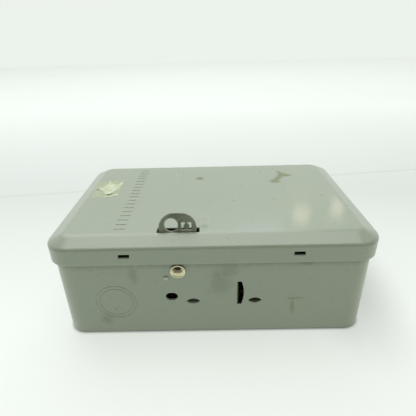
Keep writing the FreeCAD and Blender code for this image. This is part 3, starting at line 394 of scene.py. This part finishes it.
class PANELBOX_OT_enamel(bpy.types.Operator):
    """Bake grey enamel on the box, the cover, the hinges, the hasp and the guard plate"""

    bl_idname = "panelbox.enamel"
    bl_label = "Grey enamel"

    def execute(self, context):
        chosen = settings()
        body_colour = (*chosen.enamel, 1.0)
        # Semi-gloss grey baking enamel with a green cast, on the pressed box and cover: it gives a
        # smooth skin with soft broad highlights, under the stains of long use and a few marks of painted
        # shade.
        dress("cover", baked_enamel("BakedEnamelCover", body_colour, self.cover_marks(), rubbed=0.3))
        dress("back_box", baked_enamel("BakedEnamelBox", body_colour, self.wall_marks()))
        # The same enamel on the hinge leaves and their rivets, thinner where the knuckles rub.
        hinge = baked_enamel("BakedEnamelHinge", tint("989E94"), rubbed=0.2)
        for prefix in ("box_hinge_leaf", "cover_hinge_leaf", "box_leaf_rivets", "cover_leaf_rivets"):
            dress_group(prefix, hinge)
        # A darker olive enamel on the hasp, mottled by handling and worn pale along its edges.
        hasp_colour = (*chosen.hasp_enamel, 1.0)
        hasp = baked_enamel("BakedEnamelHasp", hasp_colour, self.hasp_marks(), rubbed=0.4, edge=1.3 * MM)
        dress("hasp_bracket", hasp)
        # Paler grey enamel on the guard plate inside, kept clean by the closed cover.
        dress("dead_front", baked_enamel("BakedEnamelGuard", tint("B4B8AE"), rubbed=0.1))
        return {"FINISHED"}

    def cover_marks(self):
        """Smears of old glue on the cover, painted shade of a slight dent beside the hasp and near-black
        painted shade on its slot's far edge.

        Each smear has the x and y of its middle and its half sizes in millimetres, and its turn.
        """
        smears = (
            ((-13.0, 40.0), (7.5, 8.0), 0.0),
            ((-10.0, 38.0), (4.0, 3.5), 0.4),
            ((68.0, 27.0), (10.0, 9.0), 0.0),
            ((72.8, 36.0), (6.4, 20.0), -0.55),
            ((79.0, 45.5), (11.0, 10.5), 0.3),
            ((84.5, 44.0), (9.5, 5.6), 0.0),
            ((77.0, 52.5), (4.0, 10.0), 0.35),
        )
        glue = [
            {"centre": (x * MM, y * MM, COVER_FACE), "reach": (wide * MM, deep * MM, 4 * MM), "turn": turn}
            for (x, y), (wide, deep), turn in smears
        ]
        # Painted shade of a slight dent beside the hasp's slot, in the grime colour; the cover's shape has
        # no such dent.
        grime_and_shade = [{"centre": (-6.5 * MM, -66.0 * MM, COVER_FACE), "reach": (6 * MM, 6 * MM, 3 * MM)}]
        # Painted shade, near black, on the far cut edge of the hasp's slot, so that the slot reads dark
        # inside.
        slot_edge_shade = [{
            "centre": (-27.7 * MM, -67.8 * MM, COVER_FACE - 1.5 * MM),
            "reach": (42 * MM, 3 * MM, 2.4 * MM),
            "ragged": 0.0,
        }]
        return (0.85, OLD_GLUE, glue), (0.3, GRIME_AND_SHADE, grime_and_shade), (0.95, SLOT_SHADE, slot_edge_shade)

    def wall_marks(self):
        """Rust-coloured runs and grime on the near wall, a painted shadow round the rivet's upper edge and
        painted shade under the cover's rim.

        Each row has the x and z of its middle, its half sizes in millimetres and how ragged it is.
        """
        runs = (
            ((70.0, 36.5), (11.0, 2.4), 0.3),
            ((68.0, 27.0), (3.5, 12.0), 0.3),
            ((77.0, 73.0), (10.0, 4.0), 0.3),
            ((-95.0, 16.0), (9.0, 9.0), 0.3),
        )
        grime_and_shade = (
            ((5.0, 54.0), (17.0, 20.0), 0.5),
            ((11.0, 68.0), (17.0, 14.0), 0.5),
            ((-85.3, 27.5), (2.8, 2.8), 0.25),
            ((-66.0, 64.0), (6.0, 14.0), 0.5),
        )
        # Painted shadow where the rivet's head meets the wall, shifted up so it shows above the head.
        rivet_shadow = (((RIVET_X + 0.3, RIVET_Z + 1.2), (8.8, 8.4), 0.0),)
        # Painted shade: a dark band round the walls just under the cover's rim, where the rim shades them.
        under_rim_shade = {"centre": (0, 0, 77.5 * MM), "reach": (2000 * MM, 2000 * MM, 11 * MM), "ragged": 0.2}

        def spots(rows, grain):
            return [
                {
                    "centre": (x * MM, BOX_LOW[1], z * MM),
                    "reach": (wide * MM, 4 * MM, high * MM),
                    "ragged": ragged,
                    "grain": grain,
                }
                for (x, z), (wide, high), ragged in rows
            ]

        return (
            (0.45, RUST_WASH, spots(runs, 4 * MM)),
            (0.25, GRIME_AND_SHADE, spots(grime_and_shade, 9 * MM)),
            # Painted shadow round the rivet's upper edge.
            (0.75, GRIME_AND_SHADE, spots(rivet_shadow, 4 * MM)),
            # Painted shade under the cover's rim.
            (0.42, GRIME_AND_SHADE, [under_rim_shade]),
        )

    def hasp_marks(self):
        """Mottling over the tab, and the stud that stands in the wall given pale primer: it is wall metal,
        and is painted lighter than the wall's enamel as a highlight for the light on its top.
        """
        middles = (
            (-41.0, -75.0, 94.0),
            (-25.0, -72.5, 101.0),
            (-15.0, -75.5, 92.0),
            (-30.0, -71.5, 110.0),
        )
        mottled = [
            {
                "centre": (x * MM, y * MM, z * MM),
                "reach": (11 * MM, 9 * MM, 8 * MM),
                "ragged": 0.7,
                "grain": 3 * MM,
            }
            for x, y, z in middles
        ]
        # Painted highlight: the whole stud in pale primer, for the light on its top.
        stud_highlight = [{
            "centre": (-39.0 * MM, BOX_LOW[1], 60.3 * MM),
            "reach": (6 * MM, 6 * MM, 6 * MM),
            "ragged": 0.0,
        }]
        return (0.5, GRIME_AND_SHADE, mottled), (1.0, PRIMER_AND_HIGHLIGHT, stud_highlight)


class PANELBOX_OT_metals(bpy.types.Operator):
    """Plate the fasteners, pins, springs, pan and rail, and tarnish the copper and brass"""

    bl_idname = "panelbox.metals"
    bl_label = "Bare and plated metal"

    def execute(self, context):
        # Bright zinc plate on steel, gone satin: fasteners, pins, pan and rail.
        zinc = plated_metal("ZincPlatedSteel", "B9BAB6", "8C8A7E", 0.5 * MM, 0.34, 0.35)
        # Rolled spring steel, heat-blued: dark, with a cold sheen along the leaf.
        spring = plated_metal("BluedSpringSteel", "5B5E63", "3E3B38", 0.4 * MM, 0.32, 0.4)
        # Hot-tinned copper bar: warm silver, dulled where it has been handled.
        tin = plated_metal("TinnedCopper", "C4C3BC", "8D867A", 0.5 * MM, 0.3, 0.3)
        # Rolled brass bar, brown in soft blotches.
        brass = plated_metal("RolledBrass", "C9A868", "7F6A44", 0.5 * MM, 0.28, 0.5)
        zinc_plated = (
            "hinge_pin", "interior_pan", "pan_screws", "breaker_rail", "bus_bar_screws", "lug_set",
            "load_terminal_screws", "neutral_wire", "neutral_mount", "ground_wire", "ground_spacers",
            "ground_mount", "dead_front_posts", "dead_front_screws", "card_frame",
        )
        for prefix in zinc_plated:
            dress_group(prefix, zinc)
        dress_group("catch_spring", spring)
        for name in ("bus_bar_a", "bus_bar_b", "main_lug_a", "main_lug_b", "ground_bar"):
            dress(name, tin)
        for name in ("load_terminals", "neutral_bar"):
            dress(name, brass)
        return {"FINISHED"}


class PANELBOX_OT_mouldings(bpy.types.Operator):
    """Mould the breaker cases, the bus base, the insulators and the push buttons"""

    bl_idname = "panelbox.mouldings"
    bl_label = "Mouldings"

    def execute(self, context):
        # Wood-filled black phenolic: satin, dusty, greyer on rubbed edges.
        black = moulding("BlackPhenolic", "1E1E1F", "4A4946", 0.42)
        dress_group("breaker_case", black)
        dress("neutral_insulators", black)
        # Brown phenolic of the bus base: the same, unpigmented.
        dress("bus_base", moulding("BrownPhenolic", "4A3128", "7A6A5C", 0.45))
        # Cream urea buttons: polished in the mould, so they gleam.
        dress_group("push_button", moulding("CreamUrea", "D8CDB0", "BCAE8C", 0.22, 1.0 * MM))
        return {"FINISHED"}


class PANELBOX_OT_card(bpy.types.Operator):
    """Rule the blank circuit card inside the cover"""

    bl_idname = "panelbox.card"
    bl_label = "Circuit card"

    def execute(self, context):
        # Aged index card: matt, cream, foxed in soft spots, with faint ruled lines and no writing.
        material, tree, place = new_material("AgedCardStock")
        cloud = add_node(tree, "TexNoise", (place, 1 / (12 * MM), 6.0))
        foxed = add_node(tree, "MapRange", (cloud, 0.55, 0.75, 0.0, 0.5))
        paper = add_node(tree, "Mix", (foxed, tint("DDD6BE"), tint("BFA97C")), data_type="RGBA")
        height = add_node(tree, "SeparateXYZ", (place,)).outputs["Y"]
        rows = add_node(tree, "Math", (height, settings().card_pitch), operation="DIVIDE")
        wave = add_node(tree, "Math", (rows,), operation="FRACT")
        off = add_node(tree, "Math", (wave, 0.5), operation="SUBTRACT")
        near = add_node(tree, "Math", (off,), operation="ABSOLUTE")
        line = add_node(tree, "MapRange", (near, 0.04, 0.02, 0.0, 0.6))
        ruled = add_node(tree, "Mix", (line, paper, tint("7C8694")), data_type="RGBA")
        fibre = add_node(tree, "TexNoise", (place, 1 / (0.6 * MM), 4.0))
        nap = add_node(tree, "Bump", {"Height": fibre, "Distance": 0.02 * MM, "Strength": 0.5})
        shader = add_node(tree, "BsdfPrincipled", {
            "Base Color": ruled,
            "Roughness": 0.85,
            "Normal": nap,
        })
        add_node(tree, "OutputMaterial", {"Surface": shader})
        dress("circuit_card", material)
        return {"FINISHED"}


class PANELBOX_OT_rivet(bpy.types.Operator):
    """Turn the nickel rivet that holds the hasp, with a rolled lip round its low dome"""

    bl_idname = "panelbox.rivet"
    bl_label = "Hasp rivet"

    def execute(self, context):
        chosen = settings()
        seat = BOX_LOW[1]
        radius = (RIVET_HIGH[0] - RIVET_LOW[0]) / 2
        rise = seat - RIVET_LOW[1]
        flange = rise - chosen.rivet_lip - DOME_OVER_LIP
        deselect()
        bpy.ops.mesh.primitive_cylinder_add(
            vertices=64,
            radius=radius,
            depth=flange,
            location=(RIVET_X * MM, seat - flange / 2, RIVET_Z * MM),
            rotation=(math.radians(90), 0, 0),
        )
        head = context.object
        bpy.ops.object.transform_apply(location=True, rotation=True, scale=True)
        self.raise_head(head, radius, rise, flange, chosen.rivet_lip)
        self.draw_shank(head, radius)
        bevel = head.modifiers.new("SoftEdges", "BEVEL")
        bevel.width = 0.16 * MM
        bevel.segments = 3
        bevel.limit_method = "ANGLE"
        bevel.angle_limit = math.radians(20)
        bpy.ops.object.modifier_apply(modifier=bevel.name)
        # Bright nickel plate, yellowed by age. The upper half of the dome is painted dark brown, a painted
        # reflection of the darker room above it; the lower half mirrors the bench below.
        shaded_dome_top = [{
            "centre": (RIVET_X * MM, RIVET_LOW[1], (RIVET_Z + 2.1) * MM),
            "reach": (9.2 * MM, 9 * MM, 5.4 * MM),
            "ragged": 0.3,
            "grain": 1.2 * MM,
            "soft": 0.2,
        }]
        marks = [(0.85, DOME_TOP_SHADE, shaded_dome_top)]
        nickel = plated_metal("BrightNickelPlate", "DCD6B6", "8F8258", 0.8 * MM, 0.1, 0.35, marks)
        settle(head, "hasp_rivet_turned", nickel, "box")
        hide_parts("hasp_rivet")
        dress("hasp_rivet", nickel)
        return {"FINISHED"}

    def raise_head(self, head, radius, rise, flange, lip):
        """Rolls the lip up from the flange, drops a groove inside it and raises the dome in rings."""
        lip_side, lip_top, groove_side = 0.35 * MM, 0.75 * MM, 0.3 * MM
        groove = lip * 0.45
        edit(head, lambda face: face.normal.y < -0.9)
        bpy.ops.mesh.inset(thickness=lip_side)
        bpy.ops.transform.translate(value=(0, -lip, 0))
        bpy.ops.mesh.inset(thickness=lip_top)
        bpy.ops.mesh.inset(thickness=groove_side)
        bpy.ops.transform.translate(value=(0, groove, 0))
        inner = radius - lip_side - lip_top - groove_side
        rings = 7
        dome = rise - flange - (lip - groove)
        for ring in range(rings):
            start, end = ring / rings, (ring + 1) / rings
            bpy.ops.mesh.inset(thickness=inner / (rings + 1))
            rise_here = dome * (math.sin(end * math.pi / 2) - math.sin(start * math.pi / 2))
            bpy.ops.transform.translate(value=(0, -rise_here, 0))
        leave_edit()

    def draw_shank(self, head, radius):
        """Draws the shank back through the wall and the leg and spreads its tail."""
        shank = 3.0 * MM
        tail = 1.4 * MM
        length = RIVET_HIGH[1] - BOX_LOW[1] - tail - 0.1 * MM
        edit(head, lambda face: face.normal.y > 0.9)
        bpy.ops.mesh.inset(thickness=radius - shank)
        bpy.ops.mesh.extrude_region_move(TRANSFORM_OT_translate={"value": (0, length, 0)})
        bpy.ops.mesh.extrude_region_move(TRANSFORM_OT_translate={"value": (0, 0, 0)})
        bpy.ops.transform.resize(value=(1.5, 1.0, 1.5))
        bpy.ops.mesh.extrude_region_move(TRANSFORM_OT_translate={"value": (0, tail, 0)})
        bpy.ops.mesh.select_all(action="SELECT")
        bpy.ops.mesh.normals_make_consistent(inside=False)
        leave_edit()


class PANELBOX_OT_label(bpy.types.Operator):
    """Leave the torn remains of a paper label and its yellowed glue on the cover"""

    bl_idname = "panelbox.label"
    bl_label = "Torn label"

    def execute(self, context):
        chosen = settings()
        glue_corners = ((-123.4, 35.9), (-95.6, 37.5), (-94.2, -0.6), (-119.4, -6.9))
        tears = (
            (-120.6, 16.3), (-112.2, 11.8), (-106.2, 1.8), (-101.6, 0.2), (-100.8, 8.0), (-96.6, 18.8),
            (-94.6, 37.5), (-99.8, 28.0), (-104.2, 27.4), (-110.3, 35.4), (-112.6, 25.2), (-114.4, 19.4),
        )
        strip_corners = ((-107.4, -6.8), (-93.4, -0.6), (-93.9, 2.6), (-106.6, -3.4))
        paper, seed = chosen.label_thickness, chosen.label_seed
        film = self.cut_sheet("label_glue", glue_corners, 0.05 * MM, 1.0 * MM, seed)
        settle(film, "label_glue", self.glue_material(), "cover")
        scrap = self.cut_sheet("label_scrap", tears, paper, 1.2 * MM, seed + 1)
        edit(scrap, lambda vertex: self.is_tip(vertex.co, tears), "VERT")
        bpy.ops.transform.translate(
            value=(0, 0, chosen.label_curl),
            use_proportional_edit=True,
            proportional_edit_falloff="SMOOTH",
            proportional_size=5 * MM,
        )
        leave_edit()
        settle(scrap, "label_scrap", self.paper_material(), "cover")
        strip = self.cut_sheet("label_strip", strip_corners, paper, 0.5 * MM, seed + 2)
        settle(strip, "label_strip", scrap.data.materials[0], "cover")
        return {"FINISHED"}

    def is_tip(self, place, tears):
        """True near every third point of the torn outline, where the paper has let go."""
        tips = [Vector((x * MM, y * MM)) for x, y in tears[::3]]
        return any((place.xy - tip).length < 1.6 * MM for tip in tips)

    def cut_sheet(self, name, corners, thickness, raggedness, seed):
        """A thin flat piece lying on the cover, cut to its corners and torn along its edges."""
        deselect()
        base = COVER_FACE + LABEL_GAP
        centre = Vector((sum(x for x, y in corners), sum(y for x, y in corners), 0)) / len(corners) * MM
        bpy.ops.mesh.primitive_circle_add(
            vertices=len(corners),
            radius=10 * MM,
            fill_type="NGON",
            location=(centre.x, centre.y, base),
        )
        sheet = bpy.context.object
        sheet.name = name
        bpy.ops.object.transform_apply(location=True, rotation=True, scale=True)
        for place, (x, y) in enumerate(corners):
            now = sheet.data.vertices[place].co.copy()
            edit(sheet, lambda vertex: vertex.index == place, "VERT")
            bpy.ops.transform.translate(value=Vector((x * MM, y * MM, base)) - now)
            leave_edit()
        edit(sheet, lambda face: True)
        bpy.ops.mesh.subdivide(
            number_cuts=9,
            fractal=raggedness * TEAR_SCALE,
            fractal_along_normal=0.0,
            seed=seed,
        )
        bpy.ops.transform.resize(value=(1, 1, 0), center_override=(centre.x, centre.y, base))
        bpy.ops.mesh.quads_convert_to_tris()
        bpy.ops.mesh.subdivide(number_cuts=1)
        bpy.ops.mesh.select_all(action="SELECT")
        bpy.ops.mesh.normals_make_consistent(inside=False)
        leave_edit()
        if sheet.data.polygons[0].normal.z < 0:
            sheet.data.flip_normals()
        solid = sheet.modifiers.new("Thickness", "SOLIDIFY")
        solid.thickness = thickness
        solid.offset = 1.0
        bpy.ops.object.modifier_apply(modifier=solid.name)
        return sheet

    def glue_material(self):
        # Dried label glue: a thin yellowed film with dust in it, glossy where it is still whole.
        material, tree, place = new_material("YellowedGlue")
        blotch = add_node(tree, "TexNoise", (place, 1 / (5 * MM), 6.0, 0.6))
        thick = add_node(tree, "MapRange", (blotch, 0.35, 0.65))
        shade = add_node(tree, "Mix", (thick, tint("A6B092"), tint("B3BB99")), data_type="RGBA")
        fine = add_node(tree, "TexNoise", (place, 1 / (1.2 * MM), 4.0))
        dirt = add_node(tree, "MapRange", (fine, 0.5, 0.8, 0.0, 0.5))
        shade = add_node(tree, "Mix", (dirt, shade, tint("8C9279")), data_type="RGBA")
        roughness = add_node(tree, "MapRange", (blotch, 0.3, 0.7, 0.3, 0.6))
        crust = add_node(tree, "Bump", {"Height": fine, "Distance": 0.05 * MM, "Strength": 0.6})
        shader = add_node(tree, "BsdfPrincipled", {
            "Base Color": shade,
            "Roughness": roughness,
            "Normal": crust,
        })
        add_node(tree, "OutputMaterial", {"Surface": shader})
        return material

    def paper_material(self):
        # Torn label paper: cream fibres, whitest along the tear, stained by the glue in the middle.
        material, tree, place = new_material("TornLabelPaper")
        soaked = add_node(tree, "TexNoise", (place, 1 / (7 * MM), 5.0, 0.6))
        stained = add_node(tree, "MapRange", (soaked, 0.4, 0.65))
        shade = add_node(tree, "Mix", (stained, tint("D6DEC2"), tint("BEC69F")), data_type="RGBA")
        # Real fibres are finer than this; they are drawn at 0.5 mm so that they show.
        fibre = add_node(tree, "TexNoise", (place, 1 / (0.5 * MM), 5.0, 0.7))
        torn = add_node(tree, "MapRange", (fibre, 0.55, 0.8, 0.0, 0.5))
        shade = add_node(tree, "Mix", (torn, shade, tint("EEEDDD")), data_type="RGBA")
        nap = add_node(tree, "Bump", {"Height": fibre, "Distance": 0.08 * MM, "Strength": 0.8})
        shader = add_node(tree, "BsdfPrincipled", {
            "Base Color": shade,
            "Roughness": 0.8,
            "Normal": nap,
        })
        add_node(tree, "OutputMaterial", {"Surface": shader})
        return material


class PANELBOX_OT_stage(bpy.types.Operator):
    """Lay a pale floor, hang soft lights and set the camera"""

    bl_idname = "panelbox.stage"
    bl_label = "Stage"

    def execute(self, context):
        self.lay_floor()
        self.light_room()
        self.hang_lights()
        self.set_camera()
        context.scene.view_settings.view_transform = "Standard"
        return {"FINISHED"}

    def lay_floor(self):
        """White board on the bench: pale by its own glow, with a soft painted shadow round the box."""
        deselect()
        bpy.ops.mesh.primitive_plane_add(size=6.0, location=(0, 0, 0))
        floor = bpy.context.object
        floor.name = "PaleFloor"
        # White-painted board: matt and nearly burnt out. A glow of its own over a greyer coat keeps it
        # pale while the lights on the box stay soft.
        material, tree, place = new_material("WhiteBoard")
        cloud = add_node(tree, "TexNoise", (place, 1 / (250 * MM), 3.0))
        glow = add_node(tree, "Mix", (cloud, tint("EEF3EE"), tint("E8EEE7")), data_type="RGBA")
        glow = add_node(tree, "Mix", (self.seam(tree, place), glow, tint("DDE5DC")), data_type="RGBA")
        # Painted light: the glow is strongest in front of the box, fainter behind it, and rises again far
        # back where the board stands for the wall.
        depth = add_node(tree, "SeparateXYZ", (place,)).outputs["Y"]
        spill = add_node(tree, "MapRange", (depth, -0.08, 0.2, FLOOR_NEAR_GLOW, FLOOR_BACK_GLOW))
        wall = add_node(tree, "MapRange", (depth, 0.25, 0.9, 0.0, WALL_EXTRA_GLOW))
        spill = add_node(tree, "Math", (spill, wall))
        clear = self.away_from_box(tree, place)
        shader = add_node(tree, "BsdfPrincipled", {
            "Base Color": tint("8F938E"),
            "Roughness": 0.6,
            "Emission Color": glow,
            "Emission Strength": add_node(tree, "Math", (clear, spill), operation="MULTIPLY"),
        })
        add_node(tree, "OutputMaterial", {"Surface": shader})
        floor.data.materials.append(material)

    def seam(self, tree, place):
        """A faint joint behind the box, where the board meets the wall, slightly out of square."""
        parts = add_node(tree, "SeparateXYZ", (place,)).outputs
        line = add_node(tree, "Math", (parts["X"], -0.115, parts["Y"]), operation="MULTIPLY_ADD")
        beyond = add_node(tree, "Math", (line, 256 * MM), operation="SUBTRACT")
        off = add_node(tree, "Math", (beyond,), operation="ABSOLUTE")
        return add_node(tree, "MapRange", (off, 6 * MM, 1 * MM), interpolation_type="SMOOTHSTEP")

    def outside(self, tree, place):
        """How far a point of the floor is from the box's foot, whose corners are round."""
        flat = add_node(tree, "VectorMath", (place, (1, 1, 0)), operation="MULTIPLY")
        mirrored = add_node(tree, "VectorMath", (flat,), operation="ABSOLUTE")
        core = (BOX_HIGH[0] - FOOT_CORNER, BOX_HIGH[1] - FOOT_CORNER, 0)
        beyond = add_node(tree, "VectorMath", (mirrored, core), operation="SUBTRACT")
        clipped = add_node(tree, "VectorMath", (beyond, (0, 0, 0)), operation="MAXIMUM")
        reach = add_node(tree, "VectorMath", (clipped,), operation="LENGTH")
        return add_node(tree, "Math", (reach, FOOT_CORNER), operation="SUBTRACT")

    def away_from_box(self, tree, place):
        """Painted shadow on the floor's glow: 0 under the box and 1 clear of it, with a soft painted shade
        to its right.
        """
        foot = self.outside(tree, place)
        # Painted contact shadow: the glow dies out across the line of the box's foot.
        painted_contact_shadow = add_node(tree, "MapRange", (foot, -2.5 * MM, 2.5 * MM), interpolation_type="SMOOTHSTEP")
        # Painted cast shadow to the right of the box.
        centre = (BOX_HIGH[0] + 8 * MM, -4 * MM, 0)
        painted_cast_shadow = patch(tree, place, centre, (62 * MM, 150 * MM, 50 * MM), ragged=0.0, soft=0.5)
        shade = add_node(tree, "Math", (painted_cast_shadow, -0.45, 1.0), operation="MULTIPLY_ADD")
        return add_node(tree, "Math", (painted_contact_shadow, shade), operation="MULTIPLY")

    def light_room(self):
        """A white room: bright low down all round, darker towards the bench's user and overhead.

        The box sees this room. The camera sees one plain pale colour past the floor's edge instead.
        """
        world = bpy.data.worlds.new("WhiteRoom")
        world.use_nodes = True
        tree = world.node_tree
        tree.nodes.clear()
        sight = add_node(tree, "TexCoord").outputs["Generated"]
        parts = add_node(tree, "SeparateXYZ", (sight,)).outputs
        front = add_node(tree, "MapRange", (parts["Y"], 0.2, -0.6), interpolation_type="SMOOTHSTEP")
        height = add_node(tree, "MapRange", (parts["Z"], 0.05, 0.75), interpolation_type="SMOOTHSTEP")
        across = add_node(tree, "Math", (parts["X"],), operation="ABSOLUTE")
        side = add_node(tree, "MapRange", (across, 0.4, 0.8), interpolation_type="SMOOTHSTEP")
        horizon = add_node(tree, "Mix", (side, tint("ECF2EC"), tint("FFFFFF")), data_type="RGBA")
        wall = add_node(tree, "Mix", (front, horizon, tint("5C5E51")), data_type="RGBA")
        above = add_node(tree, "Mix", (front, tint("ACB2AE"), tint("605E55")), data_type="RGBA")
        room = add_node(tree, "Mix", (height, wall, above), data_type="RGBA")
        seen = add_node(tree, "LightPath").outputs["Is Camera Ray"]
        shown = add_node(tree, "Mix", (seen, room, tint("ECF2EC")), data_type="RGBA")
        add_node(tree, "OutputWorld", {"Surface": add_node(tree, "Background", (shown, 1.0))})
        bpy.context.scene.world = world

    def hang_lights(self):
        """Name, place, size, power in watts and colour of each light; all of them face the box."""
        lights = (
            ("WindowBehind", (-0.45, 1.45, 2.0), (2.6, 1.6), 28.0, "F0F3FF"),
            ("CeilingAbove", (0.0, 0.3, 2.2), (2.2, 1.0), 17.0, "FFFFFC"),
            ("StripFront", (0.0, -0.75, 1.9), (2.6, 0.05), 1.0, "FFFFFF"),
            ("StripLeft", (-0.95, -0.72, 1.75), (0.7, 0.06), 1.8, "FFFFFF"),
            ("StripRight", (1.0, -0.72, 1.75), (0.4, 0.06), 0.8, "FFFFFF"),
            ("LampRight", (0.57, 1.65, 1.02), (0.09, 0.08), 0.17, "FFEBC8"),
            ("LampFarRight", (0.79, 1.64, 0.97), (0.07, 0.1), 0.15, "FFF0D6"),
        )
        for name, place, size, power, colour in lights:
            lamp = bpy.data.lights.new(name, "AREA")
            lamp.shape = "RECTANGLE"
            lamp.size, lamp.size_y = size
            lamp.energy = power
            lamp.color = linear(colour)
            thing = bpy.data.objects.new(name, lamp)
            thing.location = place
            to_box = LIGHTS_AIM - Vector(place)
            thing.rotation_euler = to_box.to_track_quat("-Z", "Y").to_euler()
            bpy.context.collection.objects.link(thing)

    def set_camera(self):
        chosen = settings()
        lens = bpy.data.cameras.new("BenchCamera")
        lens.sensor_width = 36.0
        lens.lens = chosen.camera_lens
        lens.clip_start = 0.01
        camera = bpy.data.objects.new("BenchCamera", lens)
        tilt = Matrix.Rotation(math.radians(90) - chosen.camera_down, 4, "X")
        turn = Matrix.Rotation(chosen.camera_turn, 4, "Z")
        roll = Matrix.Rotation(chosen.camera_roll, 4, "Z")
        camera.matrix_world = Matrix.Translation(chosen.camera_place) @ turn @ tilt @ roll
        bpy.context.collection.objects.link(camera)
        bpy.context.scene.camera = camera


class PANELBOX_PT_sidebar(bpy.types.Panel):
    """Buttons for every piece and finish of the panel box"""

    bl_idname = "PANELBOX_PT_sidebar"
    bl_label = "Panel Box"
    bl_space_type = "VIEW_3D"
    bl_region_type = "UI"
    bl_category = "Panel Box"

    def draw(self, context):
        for operator in OPERATORS:
            self.layout.operator(operator.bl_idname)


OPERATORS = (
    PANELBOX_OT_enamel,
    PANELBOX_OT_metals,
    PANELBOX_OT_mouldings,
    PANELBOX_OT_card,
    PANELBOX_OT_rivet,
    PANELBOX_OT_label,
    PANELBOX_OT_stage,
)


def register():
    bpy.utils.register_class(PanelBoxSettings)
    for operator in OPERATORS:
        bpy.utils.register_class(operator)
    bpy.utils.register_class(PANELBOX_PT_sidebar)
    bpy.types.Scene.panel_box = PointerProperty(type=PanelBoxSettings)


def unregister():
    del bpy.types.Scene.panel_box
    bpy.utils.unregister_class(PANELBOX_PT_sidebar)
    for operator in reversed(OPERATORS):
        bpy.utils.unregister_class(operator)
    bpy.utils.unregister_class(PanelBoxSettings)


def main():
    register()
    bpy.ops.panelbox.enamel()
    bpy.ops.panelbox.metals()
    bpy.ops.panelbox.mouldings()
    bpy.ops.panelbox.card()
    bpy.ops.panelbox.rivet()
    bpy.ops.panelbox.label()
    bpy.ops.panelbox.stage()
    deselect()


if __name__ == "__main__":
    main()
